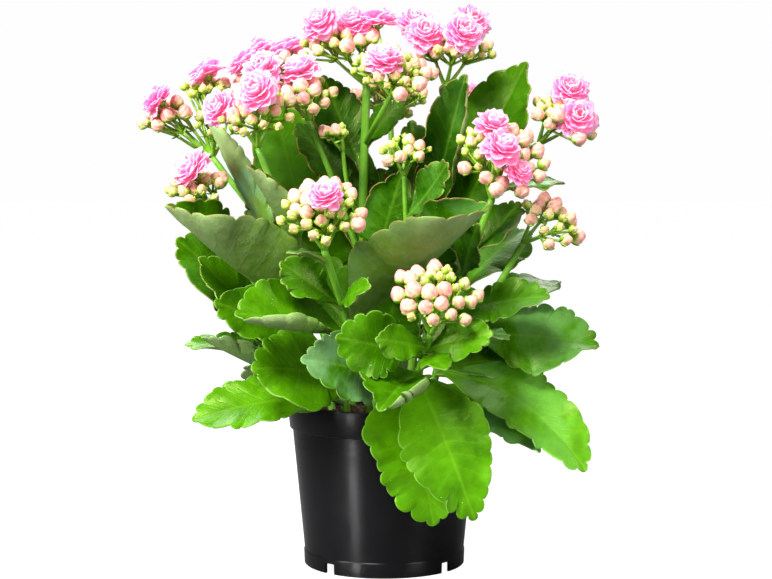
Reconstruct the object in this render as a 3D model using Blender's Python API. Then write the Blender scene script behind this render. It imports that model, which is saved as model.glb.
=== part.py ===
"""A double-flowered kalanchoe in a round nursery pot, 316 mm tall.

Metres, +Z up.  The origin is the centre of the pot's foot, on the surface that the pot stands on,
and -Y is the front.  The tables of stems, flower heads and leaves are in millimetres.
"""

import math
import random

import bmesh
import bpy
from mathutils import Vector

MM = 0.001
GAP = 0.35 * MM

# Pot: turned plastic with a rim band, four drain slots in its foot wall, and a base that stands on a
# flat disc inside a raised ring.
POT_HEIGHT = 92.5 * MM
RIM_RADIUS = 55.0 * MM
RIM_BAND = 14.5 * MM
RIM_STEP = 1.6 * MM
FOOT_RADIUS = 45.4 * MM
FOOT_BAND = 8.0 * MM
FOOT_STEP = 0.5 * MM
WALL = 1.4 * MM
BASE_UNDERSIDE = 5.0 * MM
BASE_THICKNESS = 1.6 * MM
DISC_RADIUS = 30.0 * MM
DISC_SLOPE = 2.0 * MM
POT_SEGMENTS = 40
DRAIN_COUNT = 4
DRAIN_TURN = math.radians(3.5)
DRAIN_WIDTH = 6.6 * MM
DRAIN_HEIGHT = 5.8 * MM
DRAIN_HOLE_DEPTH = 5.0 * MM

# Soil: one plug that fills the pot to just under the rim.
SOIL_EDGE = 84.0 * MM
SOIL_TOP = 87.0 * MM
SOIL_SEGMENTS = 28

# Stems and flower stalks.
STEM_SIDES = 5
STEM_STEPS = 8
BRANCH_RADIUS = 0.95 * MM
PEDICEL_RADIUS = 0.6 * MM
BRANCH_REACH = 0.55

# Flower heads.
GOLDEN_ANGLE = math.pi * (3.0 - math.sqrt(5.0))
DOME = 0.42
BUD_RADIUS = 3.9 * MM
BUD_LENGTH = 1.15
BUD_SEGMENTS = 5
LARGE_BUD_SHARE = 0.42
FLOWER_RADIUS = 10.0 * MM
FLOWER_HEIGHT = 12.0 * MM
FLOWER_SEGMENTS = 6

# Leaves.
LEAF_THICKNESS = 2.2 * MM
PETIOLE_WIDTH = 4.8 * MM
BASE_SHARPNESS = 1.25
TIP_SHARPNESS = 0.66
LEAF_ROWS = (0.0, 0.2, 0.42, 0.66, 0.9)
LEAF_COLUMNS = (-1.0, -0.5, 0.0, 0.5, 1.0)
ROOT_FOLD = 0.4
EDGE_FOLD = 1.2
LEAF_CLEARANCE = 1.1 * MM
SHALLOWEST_LEAF = 0.35

# Name, shoot that it belongs to, stem that it grows from, points of its route, foot and top radius.
STEMS = (
    ("left", "shoot_left", None,
     ((-28, 14, 68), (-34, 15, 100), (-62, 19, 178), (-99, 20, 231)), 2.4, 1.7),
    ("left_front", "shoot_left_front", None,
     ((-19, -12, 68), (-24, -15, 100), (-48, -24, 175), (-69, -30, 235)), 2.5, 1.8),
    ("lower_left", "shoot_left_front", "left_front",
     ((-26, -16, 110), (-46, -19, 134), (-66, -20, 152), (-96, -15, 200)), 2.0, 1.6),
    ("back_left", "shoot_back_left", None,
     ((-18, 24, 68), (-21, 27, 100), (-45, 40, 180), (-68, 50, 259)), 2.3, 1.7),
    ("far_back_left", "shoot_back_left", "back_left",
     ((-30, 32, 132), (-42, 60, 190), (-46, 74, 240)), 1.9, 1.6),
    ("centre", "shoot_centre", None,
     ((-5, 8, 68), (-7, 8, 110), (-12, 6, 190), (-10, 0, 271)), 3.2, 2.3),
    ("top_centre", "shoot_centre", "centre",
     ((-11, 3, 238), (-4, -14, 250), (4, -25, 264)), 1.7, 1.5),
    ("left_centre", "shoot_centre", "centre",
     ((-12, 7, 168), (-28, -6, 215), (-42, -15, 251)), 1.8, 1.5),
    ("small_left", "shoot_centre", "centre",
     ((-12, 6, 188), (-20, -12, 212), (-23, -20, 234)), 1.3, 1.1),
    ("right_top", "shoot_right_top", None,
     ((14, 12, 68), (16, 12, 110), (25, 12, 190), (35, 10, 270)), 2.8, 2.1),
    ("small_centre", "shoot_right_top", "right_top",
     ((18, 12, 140), (13, -18, 182), (11, -30, 220)), 1.7, 1.4),
    ("far_right", "shoot_right_top", "right_top",
     ((19, 12, 150), (48, 12, 192), (88, 10, 238)), 2.0, 1.6),
    ("right", "shoot_right", None,
     ((24, -10, 68), (27, -13, 100), (42, -34, 160), (58, -45, 207)), 2.5, 1.8),
    ("right_low", "shoot_right", "right",
     ((32, -20, 118), (50, -26, 140), (63, -28, 160), (76, -30, 183)), 2.1, 1.8),
    ("front_left", "shoot_front_left", None,
     ((-6, -26, 68), (-9, -33, 96), (-19, -58, 140), (-31, -80, 181)), 2.5, 1.9),
    ("front", "shoot_front", None,
     ((10, -30, 68), (13, -37, 95), (18, -66, 114), (24, -88, 138)), 2.4, 1.8),
    ("back", "shoot_back", None,
     ((4, 30, 68), (4, 33, 100), (6, 60, 190), (4, 80, 250)), 2.4, 1.7),
    ("back_right", "shoot_back", "back",
     ((4, 39, 125), (34, 58, 190), (58, 68, 240)), 2.0, 1.6),
)

# Stem, centre of the head's base, way that it faces, radius, buds, and its open flowers.
HEADS = (
    ("left", (-126, 18, 253), (-0.4, -0.3, 1.0), 14, 10, ((-130, 10, 264),)),
    ("left", (-97, 18, 249), (0.0, -0.5, 1.0), 14, 10, ()),
    ("left", (-104, 38, 270), (-0.1, -0.1, 1.0), 13, 8, ((-105, 36, 281),)),
    ("lower_left", (-104, -18, 212), (-0.2, -0.4, 1.0), 17, 14, ((-106, -26, 225),)),
    ("left_front", (-70, -34, 254), (-0.1, -0.6, 0.9), 22, 20,
     ((-68, -51, 265), (-90, -36, 257), (-67, -22, 279))),
    ("left_centre", (-44, -18, 264), (0.0, -0.5, 1.0), 18, 14, ((-47, -20, 279),)),
    ("back_left", (-68, 50, 281), (-0.2, 0.1, 1.0), 20, 16,
     ((-83, 45, 288), (-76, 60, 296), (-58, 53, 297))),
    ("far_back_left", (-46, 78, 256), (-0.2, 0.5, 1.0), 20, 16,
     ((-50, 90, 266), (-36, 82, 268))),
    ("centre", (-27, 4, 294), (-0.2, -0.2, 1.0), 22, 18,
     ((-36, -9, 306), (-33, 18, 309), (-17, -1, 307))),
    ("top_centre", (4, -25, 276), (0.1, -0.5, 1.0), 23, 22, ((-4, -2, 308), (0, -36, 283))),
    ("small_left", (-26, -21, 243), (-0.3, -0.4, 1.0), 8, 5, ()),
    ("right_top", (40, 9, 291), (0.1, -0.3, 1.0), 22, 20,
     ((23, 0, 300), (44, -10, 300), (18, 22, 309), (50, 18, 309))),
    ("small_centre", (11, -30, 234), (0.0, -0.5, 1.0), 14, 14, ()),
    ("far_right", (101, 6, 252), (0.4, -0.3, 1.0), 19, 16, ((105, 3, 269), (108, -7, 253))),
    ("right", (62, -46, 230), (0.2, -0.8, 0.8), 25, 24,
     ((58, -54, 248), (62, -64, 235), (72, -62, 223))),
    ("right_low", (90, -32, 194), (0.5, -0.5, 0.8), 19, 20, ()),
    ("front_left", (-32, -84, 200), (0.0, -0.7, 0.8), 22, 22, ((-30, -101, 210),)),
    ("front", (27, -93, 157), (0.1, -0.8, 0.8), 22, 26, ()),
    ("back", (4, 84, 268), (0.0, 0.4, 1.0), 22, 18, ((-2, 94, 280), (12, 84, 282))),
    ("back_right", (62, 70, 256), (0.3, 0.4, 1.0), 21, 16, ((66, 80, 267), (54, 72, 269))),
)

# Name, stem, height on it, tip, way that the upper face looks, width, share of the length at which it
# is widest, bow of the midrib, and the angles in degrees by which the left and right halves bend up
# and the whole blade twists.
LEAVES = (
    ("leaf_front_1", "front", 113, (47, -84, 41), (0, -1, 0.3), 46, 0.4, 24, 0, -6, 0),
    ("leaf_front_2", "front", 104, (26, -64, 34), (0, -1, 0.15), 60, 0.32, 24, 0, 0, 0),
    ("leaf_front_3", "front_left", 101, (-102, -56, 89), (0, -0.55, 0.83), 42, 0.6, 8, 0, 0, 0),
    ("leaf_front_4", "front_left", 108, (-69, -72, 118), (-0.2, -0.8, 0.6), 52, 0.57, 6, 0, 0, 0),
    ("leaf_front_5", "front", 110, (-42, -92, 125), (0, -1, 0.4), 38, 0.6, 6, 0, 0, 0),
    ("leaf_front_6", "front_left", 133, (-76, -88, 148), (0, -0.75, 0.65), 52, 0.57, 6, 40, 0, 0),
    ("leaf_front_7", "front", 126, (-24, -98, 137), (-0.3, -1, 0.2), 34, 0.6, 6, 0, 0, 0),
    ("leaf_front_8", "front", 130, (-4, -108, 137), (-0.1, -1, 0.3), 19, 0.57, 3, 0, 0, 0),
    ("leaf_front_9", "front", 129, (55, -100, 139), (0, -0.9, 0.5), 25, 0.57, 4, 0, 0, 0),
    ("leaf_front_10", "front", 125, (31, -112, 122), (0.1, -0.9, 0.5), 16, 0.57, 3, 0, 0, 0),
    ("leaf_front_11", "front", 116, (-2, -114, 102), (0.2, -0.6, 0.75), 42, 0.55, 6, 22, 0, 0),
    ("leaf_front_12", "front_left", 150, (-54, -76, 174), (0.3, -0.9, 0.5), 24, 0.6, 0, 0, 0, 0),
    ("leaf_front_13", "front_left", 141, (54, -75, 204), (-0.4, 0.3, 1), 80, 0.44, -6, 35, 33, -30),
    ("leaf_right_1", "right_low", 132, (118, -26, 126), (0, -0.8, 0.6), 46, 0.57, 8, -8, -15, 0),
    ("leaf_right_2", "right", 110, (109, -45, 60), (0.3, -0.65, 0.65), 46, 0.5, 34, 0, 0, 0),
    ("leaf_right_3", "right", 103, (84, -52, 71), (0.3, -0.8, 0.5), 24, 0.5, 16, 0, 0, 0),
    ("leaf_right_4", "right", 143, (88, -56, 155), (0, -0.7, 0.7), 28, 0.57, 5, 0, 0, 0),
    ("leaf_right_5", "right_low", 148, (99, 2, 160), (-0.2, -0.5, 0.8), 30, 0.57, 5, 0, 0, 0),
    ("leaf_right_6", "right", 124, (61, -82, 135), (0.2, -0.6, 0.8), 32, 0.57, 5, 0, 0, 0),
    ("leaf_right_7", "right", 178, (74, -30, 205), (-0.3, -0.8, 0.5), 26, 0.57, -4, 0, 0, 0),
    ("leaf_right_8", "right", 156, (81, 8, 189), (-0.3, -0.7, 0.6), 34, 0.57, 5, 0, 0, 0),
    ("leaf_right_9", "small_centre", 148, (32, -48, 183), (0.2, -0.7, 0.3), 34, 0.5, 2, 0, 0, 0),
    ("leaf_right_10", "right_top", 192, (81, 12, 284), (-0.4, -0.7, 0.5), 48, 0.6, -11, 8, 8, 0),
    ("leaf_right_11", "right_top", 178, (45, -20, 275), (-0.3, -0.9, 0.1), 36, 0.6, 7, 25, 25, 0),
    ("leaf_left_1", "left_front", 141, (-116, -54, 203), (0.1, 0.1, 1), 68, 0.5, -8, 45, 45, 25),
    ("leaf_left_2", "left", 117, (-116, -10, 184), (0.3, -0.8, 0.4), 48, 0.62, -2, 6, 6, 0),
    ("leaf_left_3", "left_front", 103, (-102, -22, 174), (0.4, -0.7, 0.6), 48, 0.6, -12, 16, 8, 0),
    ("leaf_left_4", "left_front", 123, (-90, -58, 152), (0, -0.8, 0.6), 38, 0.57, 3, 0, 0, 0),
    ("leaf_left_5", "left", 106, (-113, 2, 124), (0, -0.2, 1), 34, 0.57, 6, 10, 10, 0),
    ("leaf_left_6", "left_front", 93, (-99, -42, 132), (0.3, 0.3, 0.9), 28, 0.57, -2, 30, 30, 0),
    ("leaf_left_7", "back_left", 185, (-64, 20, 262), (0.1, -0.9, 0.3), 42, 0.57, 5, 0, 0, 0),
    ("leaf_left_8", "left_front", 156, (-99, -2, 250), (0.75, 0.5, 0.5), 27, 0.64, -4, 0, 0, 0),
    ("leaf_left_9", "left_front", 160, (-72, -60, 224), (-0.2, -0.4, 0.8), 30, 0.66, 6, 30, 30, 0),
    ("leaf_top_1", "centre", 200, (-50, 8, 250), (0.3, -0.9, 0.4), 24, 0.57, 0, 0, 0, 0),
    ("leaf_top_2", "centre", 150, (10, -18, 222), (-0.2, -0.9, 0.3), 32, 0.62, 3, 0, 0, 0),
    ("leaf_top_3", "centre", 222, (-35, 14, 277), (0.1, -0.9, 0.4), 28, 0.57, -4, 0, 0, 0),
    ("leaf_top_4", "small_centre", 196, (34, -52, 226), (-0.3, -0.8, 0.5), 24, 0.57, -3, 0, 0, 0),
    ("leaf_back_1", "back", 104, (-12, 110, 74), (0, 0.6, 0.8), 52, 0.57, 30, 0, 0, 0),
    ("leaf_back_2", "back_left", 106, (-84, 66, 92), (-0.4, 0.5, 0.8), 46, 0.57, 16, 0, 0, 0),
    ("leaf_back_3", "back_left", 128, (-78, 92, 140), (-0.3, 0.4, 0.9), 44, 0.57, 14, 0, 0, 0),
    ("leaf_back_4", "back", 122, (48, 106, 122), (0.2, 0.4, 0.9), 46, 0.57, 12, 0, 0, 0),
    ("leaf_back_5", "right_top", 108, (86, 60, 104), (0.4, 0.4, 0.8), 48, 0.57, 16, 0, 0, 0),
    ("leaf_back_6", "back", 146, (-24, 112, 172), (-0.1, 0.2, 1), 42, 0.57, 10, 12, 12, 0),
    ("leaf_back_7", "back", 172, (58, 108, 190), (0.1, 0.2, 1), 38, 0.57, 8, 12, 12, 0),
    ("leaf_back_8", "right_top", 128, (82, 58, 176), (0.1, 0.2, 1), 42, 0.57, 8, 15, 15, 0),
    ("leaf_back_9", "left", 113, (-98, 60, 140), (-0.2, 0.2, 1), 42, 0.57, 8, 8, 8, 0),
    ("leaf_middle_1", "centre", 116, (-52, 2, 176), (0.2, -0.8, 0.5), 42, 0.6, 0, 0, 0, 0),
    ("leaf_middle_2", "right_top", 106, (64, 1, 149), (0.1, -0.7, 0.6), 46, 0.6, 8, 0, 0, 0),
    ("leaf_middle_3", "centre", 100, (8, -40, 158), (0, -0.9, 0.4), 38, 0.6, 6, 0, 0, 0),
)

# The small leaves and bracts that are one with their stem, in the same columns.
BRACTS = (
    ("bract_front", "front_left", 152, (-7, -101, 163), (-0.9, 0.2, 0.3), 16, 0.57, 3, 0, 0, 0),
    ("bract_fork", "front_left", 176, (-50, -90, 180), (0, -0.3, 1), 9, 0.57, 2, 0, 0, 0),
    ("bract_right", "right", 164, (50, -62, 194), (-0.2, -0.8, 0.4), 18, 0.57, 3, 0, 0, 0),
    ("bract_far_right", "far_right", 212, (104, 20, 216), (0, -0.4, 1), 18, 0.57, 4, 0, 0, 0),
    ("bract_centre", "centre", 236, (11, -3, 263), (-0.2, -0.9, 0.4), 18, 0.57, 3, 0, 0, 0),
    ("inner_leaf_1", "back", 120, (-8, 30, 196), (0.1, -0.9, 0.3), 36, 0.6, 4, 0, 0, 0),
    ("inner_leaf_2", "left", 150, (-73, 9, 222), (0.2, -0.9, 0.3), 28, 0.6, 2, 0, 0, 0),
    ("inner_leaf_3", "right_top", 158, (60, -14, 230), (-0.2, -0.9, 0.3), 34, 0.64, 0, 0, 0, 0),
    ("inner_leaf_4", "back_left", 140, (-35, 20, 212), (0.1, -0.9, 0.3), 32, 0.6, 4, 0, 0, 0),
    ("inner_leaf_5", "back", 136, (28, 38, 222), (-0.1, -0.9, 0.3), 42, 0.6, 0, 0, 0, 0),
)

PLASTIC = ("black_plastic", (0.012, 0.012, 0.014), 0.38, 0.0)
PEAT = ("peat", (0.035, 0.020, 0.013), 0.95, 0.0)
GREEN_STEM = ("green_stem", (0.14, 0.34, 0.04), 0.45, 0.0)
LEAF_GREEN = ("leaf_green", (0.05, 0.22, 0.01), 0.40, 0.0)


def clear_scene():
    """Remove every object, so that the file holds only this plant."""
    for item in list(bpy.data.objects):
        bpy.data.objects.remove(item, do_unlink=True)


def material(name, colour, roughness, metallic):
    """Return the Principled material of this name, and make it the first time."""
    found = bpy.data.materials.get(name)
    if found:
        return found
    made = bpy.data.materials.new(name)
    made.use_nodes = True
    shader = made.node_tree.nodes["Principled BSDF"]
    shader.inputs["Base Color"].default_value = (*colour, 1.0)
    shader.inputs["Roughness"].default_value = roughness
    shader.inputs["Metallic"].default_value = metallic
    return made


def add_object(name, mesh_builder, finish):
    """Turn a bmesh into a named object with one material."""
    bmesh.ops.recalc_face_normals(mesh_builder, faces=mesh_builder.faces)
    mesh = bpy.data.meshes.new(name)
    mesh_builder.to_mesh(mesh)
    mesh_builder.free()
    mesh.materials.append(material(*finish))
    made = bpy.data.objects.new(name, mesh)
    bpy.context.collection.objects.link(made)
    return made


def as_guide(helper):
    """Keep a cutter or union guide out of the model."""
    helper.hide_render = True
    helper.display_type = "WIRE"


def add_boolean(target, helper, operation, joins_itself=False):
    """Cut or join a helper, which stays in the file as a wire guide."""
    modifier = target.modifiers.new(operation.lower(), "BOOLEAN")
    modifier.operation = operation
    modifier.solver = "EXACT"
    modifier.use_self = joins_itself
    modifier.object = helper
    as_guide(helper)


def add_rings(builder, rings):
    """Skin closed rings of points, and close both ends; a ring of one point is a tip."""
    made = [[builder.verts.new(point) for point in ring] for ring in rings]
    for lower, upper in zip(made, made[1:]):
        count = max(len(lower), len(upper))
        for index in range(count):
            following = (index + 1) % count
            corners = [lower[index % len(lower)], lower[following % len(lower)],
                       upper[following % len(upper)], upper[index % len(upper)]]
            builder.faces.new(list(dict.fromkeys(corners)))
    for end in (made[0], made[-1]):
        if len(end) > 1:
            builder.faces.new(end)


def circle(centre, side, up, radius, count):
    """Points of a regular ring about a centre."""
    turns = [2.0 * math.pi * index / count for index in range(count)]
    return [centre + side * (radius * math.cos(turn)) + up * (radius * math.sin(turn)) for turn in turns]


def turned_rings(profile, segments):
    """Rings about the Z axis for a profile of (radius, height)."""
    across, along = Vector((1, 0, 0)), Vector((0, 1, 0))
    rings = []
    for radius, height in profile:
        centre = Vector((0, 0, height))
        rings.append([centre] if radius == 0 else circle(centre, across, along, radius, segments))
    return rings


def add_box(builder, low, high, turn):
    """Add a box given by two corners, turned about the Z axis."""
    corners = [(x, y) for x, y in ((low[0], low[1]), (high[0], low[1]), (high[0], high[1]), (low[0], high[1]))]
    cosine, sine = math.cos(turn), math.sin(turn)
    rings = []
    for height in (low[2], high[2]):
        rings.append([Vector((x * cosine - y * sine, x * sine + y * cosine, height)) for x, y in corners])
    add_rings(builder, rings)


def wall_radius(height):
    """Outer radius of the pot's body, which widens evenly from foot to rim."""
    band_top = POT_HEIGHT - RIM_BAND
    rim_root = RIM_RADIUS - RIM_STEP - 1.2 * MM
    share = (height - FOOT_BAND) / (band_top - FOOT_BAND)
    return FOOT_RADIUS + share * (rim_root - FOOT_RADIUS)


def build_pot():
    """Turn the pot in one closed profile and cut the drain slots into its foot."""
    band_top = POT_HEIGHT - RIM_BAND
    base_top = BASE_UNDERSIDE + BASE_THICKNESS
    band_root = wall_radius(band_top)
    lip = 0.6 * MM
    profile = (
        (0.0, 0.0),
        (DISC_RADIUS, 0.0),
        (DISC_RADIUS + DISC_SLOPE, BASE_UNDERSIDE),
        (FOOT_RADIUS - WALL, BASE_UNDERSIDE),
        (FOOT_RADIUS - WALL, 0.0),
        (FOOT_RADIUS + FOOT_STEP - 0.3 * MM, 0.0),
        (FOOT_RADIUS + FOOT_STEP, FOOT_BAND),
        (FOOT_RADIUS, FOOT_BAND + FOOT_STEP),
        (band_root, band_top - lip),
        (band_root + RIM_STEP, band_top),
        (RIM_RADIUS - lip / 2, POT_HEIGHT - 2 * lip),
        (RIM_RADIUS, POT_HEIGHT - lip),
        (RIM_RADIUS - lip, POT_HEIGHT),
        (RIM_RADIUS - 2.4 * MM, POT_HEIGHT - lip),
        (band_root + RIM_STEP - WALL, band_top + WALL),
        (band_root - WALL, band_top),
        (FOOT_RADIUS - WALL + 0.1 * MM, base_top + 1.0 * MM),
        (FOOT_RADIUS - WALL - 1.0 * MM, base_top),
        (DISC_RADIUS + DISC_SLOPE - 1.0 * MM, base_top),
        (DISC_RADIUS - 1.0 * MM, BASE_THICKNESS),
        (0.0, BASE_THICKNESS),
    )
    builder = bmesh.new()
    add_rings(builder, turned_rings(profile, POT_SEGMENTS))
    pot = add_object("pot", builder, PLASTIC)
    builder = bmesh.new()
    outside = FOOT_RADIUS + 5 * MM
    inside = FOOT_RADIUS - WALL - DRAIN_HOLE_DEPTH
    half = DRAIN_WIDTH / 2
    for index in range(DRAIN_COUNT):
        turn = DRAIN_TURN + math.pi * (0.25 + 0.5 * index)
        add_box(builder, (inside + 1 * MM, -half, -2 * MM), (outside, half, DRAIN_HEIGHT), turn)
    slots = add_object("drain_slot_cutter", builder, PLASTIC)
    add_boolean(pot, slots, "DIFFERENCE")
    builder = bmesh.new()
    for index in range(DRAIN_COUNT):
        turn = DRAIN_TURN + math.pi * (0.25 + 0.5 * index)
        low = (inside, 0.3 * MM - half, BASE_UNDERSIDE - 1 * MM)
        high = (inside + DRAIN_HOLE_DEPTH - 1 * MM, half - 0.3 * MM, base_top + 1 * MM)
        add_box(builder, low, high, turn)
    holes = add_object("drain_hole_cutter", builder, PLASTIC)
    add_boolean(pot, holes, "DIFFERENCE")


def build_soil(stems):
    """Fill the pot with a plug of soil that has a hole for each rooted stem."""
    bottom = BASE_UNDERSIDE + BASE_THICKNESS + GAP
    disc = DISC_RADIUS - 1.0 * MM - GAP
    band_top = POT_HEIGHT - RIM_BAND
    wall_low = wall_radius(bottom) - WALL - GAP
    wall_high = wall_radius(band_top) - WALL - GAP
    profile = (
        (0.0, BASE_THICKNESS + GAP),
        (disc, BASE_THICKNESS + GAP),
        (disc + DISC_SLOPE, bottom),
        (wall_low - 1.2 * MM, bottom),
        (wall_low, bottom + 1.5 * MM),
        (wall_high, band_top - 0.5 * MM),
        (wall_high + 0.8 * MM, SOIL_EDGE),
        (wall_high * 0.7, SOIL_EDGE + 0.6 * (SOIL_TOP - SOIL_EDGE)),
        (0.0, SOIL_TOP),
    )
    builder = bmesh.new()
    add_rings(builder, turned_rings(profile, SOIL_SEGMENTS))
    soil = add_object("soil", builder, PEAT)
    builder = bmesh.new()
    for stem in stems.values():
        if stem["host"] is None:
            axis = stem["axis"]
            clear = next(index for index, point in enumerate(axis) if point.z > SOIL_TOP + 2 * MM)
            start = axis[0] + (axis[0] - axis[1]).normalized() * GAP
            wide = stem["foot_radius"] + 2 * GAP
            add_rings(builder, tube_rings([start] + axis[1:clear + 1], wide, wide, STEM_SIDES))
    holes = add_object("stem_hole_cutter", builder, PEAT)
    add_boolean(soil, holes, "DIFFERENCE")


def route(points, steps):
    """Sample a smooth curve through the given points."""
    ends = [points[0] * 2 - points[1]] + points + [points[-1] * 2 - points[-2]]
    spans = len(points) - 1
    sampled = []
    for step in range(steps + 1):
        place = spans * step / steps
        span = min(int(place), spans - 1)
        t = place - span
        before, start, end, after = ends[span:span + 4]
        sampled.append((start * 2 + (end - before) * t + (before * 2 - start * 5 + end * 4 - after) * t ** 2
                        + (start * 3 - before - end * 3 + after) * t ** 3) / 2)
    return sampled


def tube_rings(axis, foot_radius, top_radius, sides):
    """Rings of a tapering tube about an axis, without twist."""
    last = len(axis) - 1
    side = (axis[1] - axis[0]).orthogonal().normalized()
    rings = []
    for index, point in enumerate(axis):
        ahead = (axis[min(index + 1, last)] - axis[max(index - 1, 0)]).normalized()
        side = (side - ahead * side.dot(ahead)).normalized()
        radius = foot_radius + (top_radius - foot_radius) * index / last
        rings.append(circle(point, side, ahead.cross(side), radius, sides))
    return rings


def read_stems():
    """Work out each stem's axis from the table."""
    stems = {}
    for name, shoot, host, points, foot, top in STEMS:
        axis = route([Vector(point) * MM for point in points], STEM_STEPS)
        stems[name] = {"shoot": shoot, "host": host, "axis": axis,
                       "foot_radius": foot * MM, "top_radius": top * MM}
    return stems


def stem_at(stem, height):
    """The axis point, direction and radius of a stem at a height."""
    axis = stem["axis"]
    for index in range(len(axis) - 1):
        low, high = axis[index], axis[index + 1]
        if low.z <= height <= high.z:
            share = (height - low.z) / (high.z - low.z)
            along = (index + share) / (len(axis) - 1)
            radius = stem["foot_radius"] + (stem["top_radius"] - stem["foot_radius"]) * along
            return low.lerp(high, share), (high - low).normalized(), radius
    return axis[-1], (axis[-1] - axis[-2]).normalized(), stem["top_radius"]


def head_basis(facing):
    """The axis of a flower head and two directions across it."""
    axis = Vector(facing).normalized()
    across = axis.orthogonal().normalized()
    return axis, across, axis.cross(across)


def push_apart(spots, flowers):
    """Move buds that sit in each other, or in an open flower, until they just touch."""
    for _ in range(30):
        for index, (place, radius) in enumerate(spots):
            for other, (neighbour, other_radius) in enumerate(spots):
                if other != index:
                    apart = place - neighbour
                    short = radius + other_radius - apart.length
                    if short > 0:
                        place = place + apart.normalized() * short / 2
            for flower in flowers:
                apart = place - flower
                short = radius + FLOWER_RADIUS * 0.8 - apart.length
                if short > 0:
                    place = place + apart.normalized() * short
            spots[index] = (place, radius)


def head_spots(number, centre, facing, radius, count, flowers):
    """Places and radii of a head's buds on its dome, the large ones first."""
    chance = random.Random(number)
    axis, across, along = head_basis(facing)
    spots = []
    for index in range(count):
        reach = radius * math.sqrt((index + 0.5) / count)
        turn = index * GOLDEN_ANGLE + number
        lift = DOME * radius * (1.0 - (reach / radius) ** 2) + chance.uniform(-1.5, 1.5) * MM
        place = centre + across * (reach * math.cos(turn)) + along * (reach * math.sin(turn)) + axis * lift
        large = index % 5 in (0, 2)
        size = BUD_RADIUS * (chance.uniform(0.92, 1.06) if large else chance.uniform(0.55, 0.85))
        spots.append((place, size))
    push_apart(spots, flowers)
    return sorted(spots, key=lambda spot: -spot[1])


def add_bud(builder, root, place, radius):
    """Add a faceted bud on its stalk, which widens from its root on the branch."""
    outward = (place - root).normalized()
    side = outward.orthogonal().normalized()
    up = outward.cross(side)
    neck = circle(place - outward * radius * 0.95, side, up, PEDICEL_RADIUS, BUD_SEGMENTS)
    waist = circle(place + outward * radius * 0.1, side, up, radius, BUD_SEGMENTS)
    add_rings(builder, [[root], neck, waist, [place + outward * radius * BUD_LENGTH]])


def add_flower(builder, place, outward):
    """Add an open double flower as a faceted bowl of petals."""
    side = outward.orthogonal().normalized()
    up = outward.cross(side)
    profile = ((0.0, -0.5), (0.5, -0.38), (1.0, 0.05), (0.7, 0.38), (0.0, 0.5))
    rings = []
    for reach, height in profile:
        centre = place + outward * (height * FLOWER_HEIGHT)
        ring = circle(centre, side, up, reach * FLOWER_RADIUS, FLOWER_SEGMENTS)
        rings.append([centre] if reach == 0 else ring)
    add_rings(builder, rings)


def add_head(builder, fork, number, head):
    """Add a head's branches, stalks, large buds and open flowers above the stem's fork."""
    _, centre, facing, radius, count, flowers = head
    centre = Vector(centre) * MM
    flowers = [Vector(flower) * MM for flower in flowers]
    axis, across, along = head_basis(facing)
    spots = head_spots(number, centre, facing, radius * MM, count, flowers)
    large = spots[:max(3, round(count * LARGE_BUD_SHARE))]
    ends = [(place, size, False) for place, size in large]
    ends += [(place, FLOWER_HEIGHT * 0.4, True) for place in flowers]
    sectors = {}
    for end in ends:
        offset = end[0] - centre
        turn = math.atan2(offset.dot(along), offset.dot(across))
        sectors.setdefault(int(turn // (math.pi / 2)), []).append(end)
    for sector in sorted(sectors):
        members = sectors[sector]
        middle = sum((end[0] for end in members), Vector()) / len(members)
        split = fork.lerp(middle, BRANCH_REACH)
        reach = (split - fork).normalized() * BRANCH_RADIUS
        add_rings(builder, tube_rings([fork - reach, split + reach], BRANCH_RADIUS, BRANCH_RADIUS, 4))
        for place, size, is_flower in members:
            if is_flower:
                add_rings(builder, tube_rings([split, place], PEDICEL_RADIUS, PEDICEL_RADIUS, 3))
                add_flower(builder, place, ((place - fork).normalized() + axis).normalized())
            else:
                add_bud(builder, split, place, size)


def build_shoots(stems):
    """Join each rooted stem with its side stems, bracts, branches, buds and flowers."""
    for shoot in sorted({stem["shoot"] for stem in stems.values()}):
        rooted = bmesh.new()
        growth = bmesh.new()
        for name, stem in stems.items():
            if stem["shoot"] != shoot:
                continue
            rings = tube_rings(stem["axis"], stem["foot_radius"], stem["top_radius"], STEM_SIDES)
            add_rings(growth if stem["host"] else rooted, rings)
            for number, head in enumerate(HEADS):
                if head[0] == name:
                    add_head(growth, stem["axis"][-1], number, head)
            for leaf in BRACTS:
                if leaf[1] == name:
                    add_leaf(growth, leaf, stems, 0.0)
        guide = add_object(shoot + "_stem_guide", rooted, GREEN_STEM)
        made = add_object(shoot, growth, GREEN_STEM)
        add_boolean(made, guide, "UNION", joins_itself=True)


def blade(leaf, stems, clearance):
    """Work out a leaf's midrib points and its side and face directions."""
    _, stem_name, height, tip, face, _, _, bow, _, _, _ = leaf
    foot, up, radius = stem_at(stems[stem_name], height * MM)
    tip = Vector(tip) * MM
    chord = (tip - foot).normalized()
    face = Vector(face)
    face = (face - chord * face.dot(chord)).normalized()
    middle = (foot + tip) / 2 + face * (bow * MM)
    start = (middle - foot).normalized()
    if clearance:
        slope = start.dot(up)
        steepness = max(math.sqrt(max(1.0 - slope ** 2, 0.0)), SHALLOWEST_LEAF)
        foot = foot + start * ((radius + LEAF_THICKNESS / 2 * abs(slope)) / steepness + clearance)
    return foot, middle, tip, chord.cross(face)


def half_width(leaf, along):
    """Flat half width of a leaf at a share of its length."""
    width, widest = leaf[5] * MM, leaf[6]
    power = math.log(0.5) / math.log(widest)
    sharpness = BASE_SHARPNESS if along < widest else TIP_SHARPNESS
    broad = width / 2 * max(math.sin(math.pi * along ** power), 0.0) ** sharpness
    return max(broad, PETIOLE_WIDTH / 2) if along < widest else broad


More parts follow.
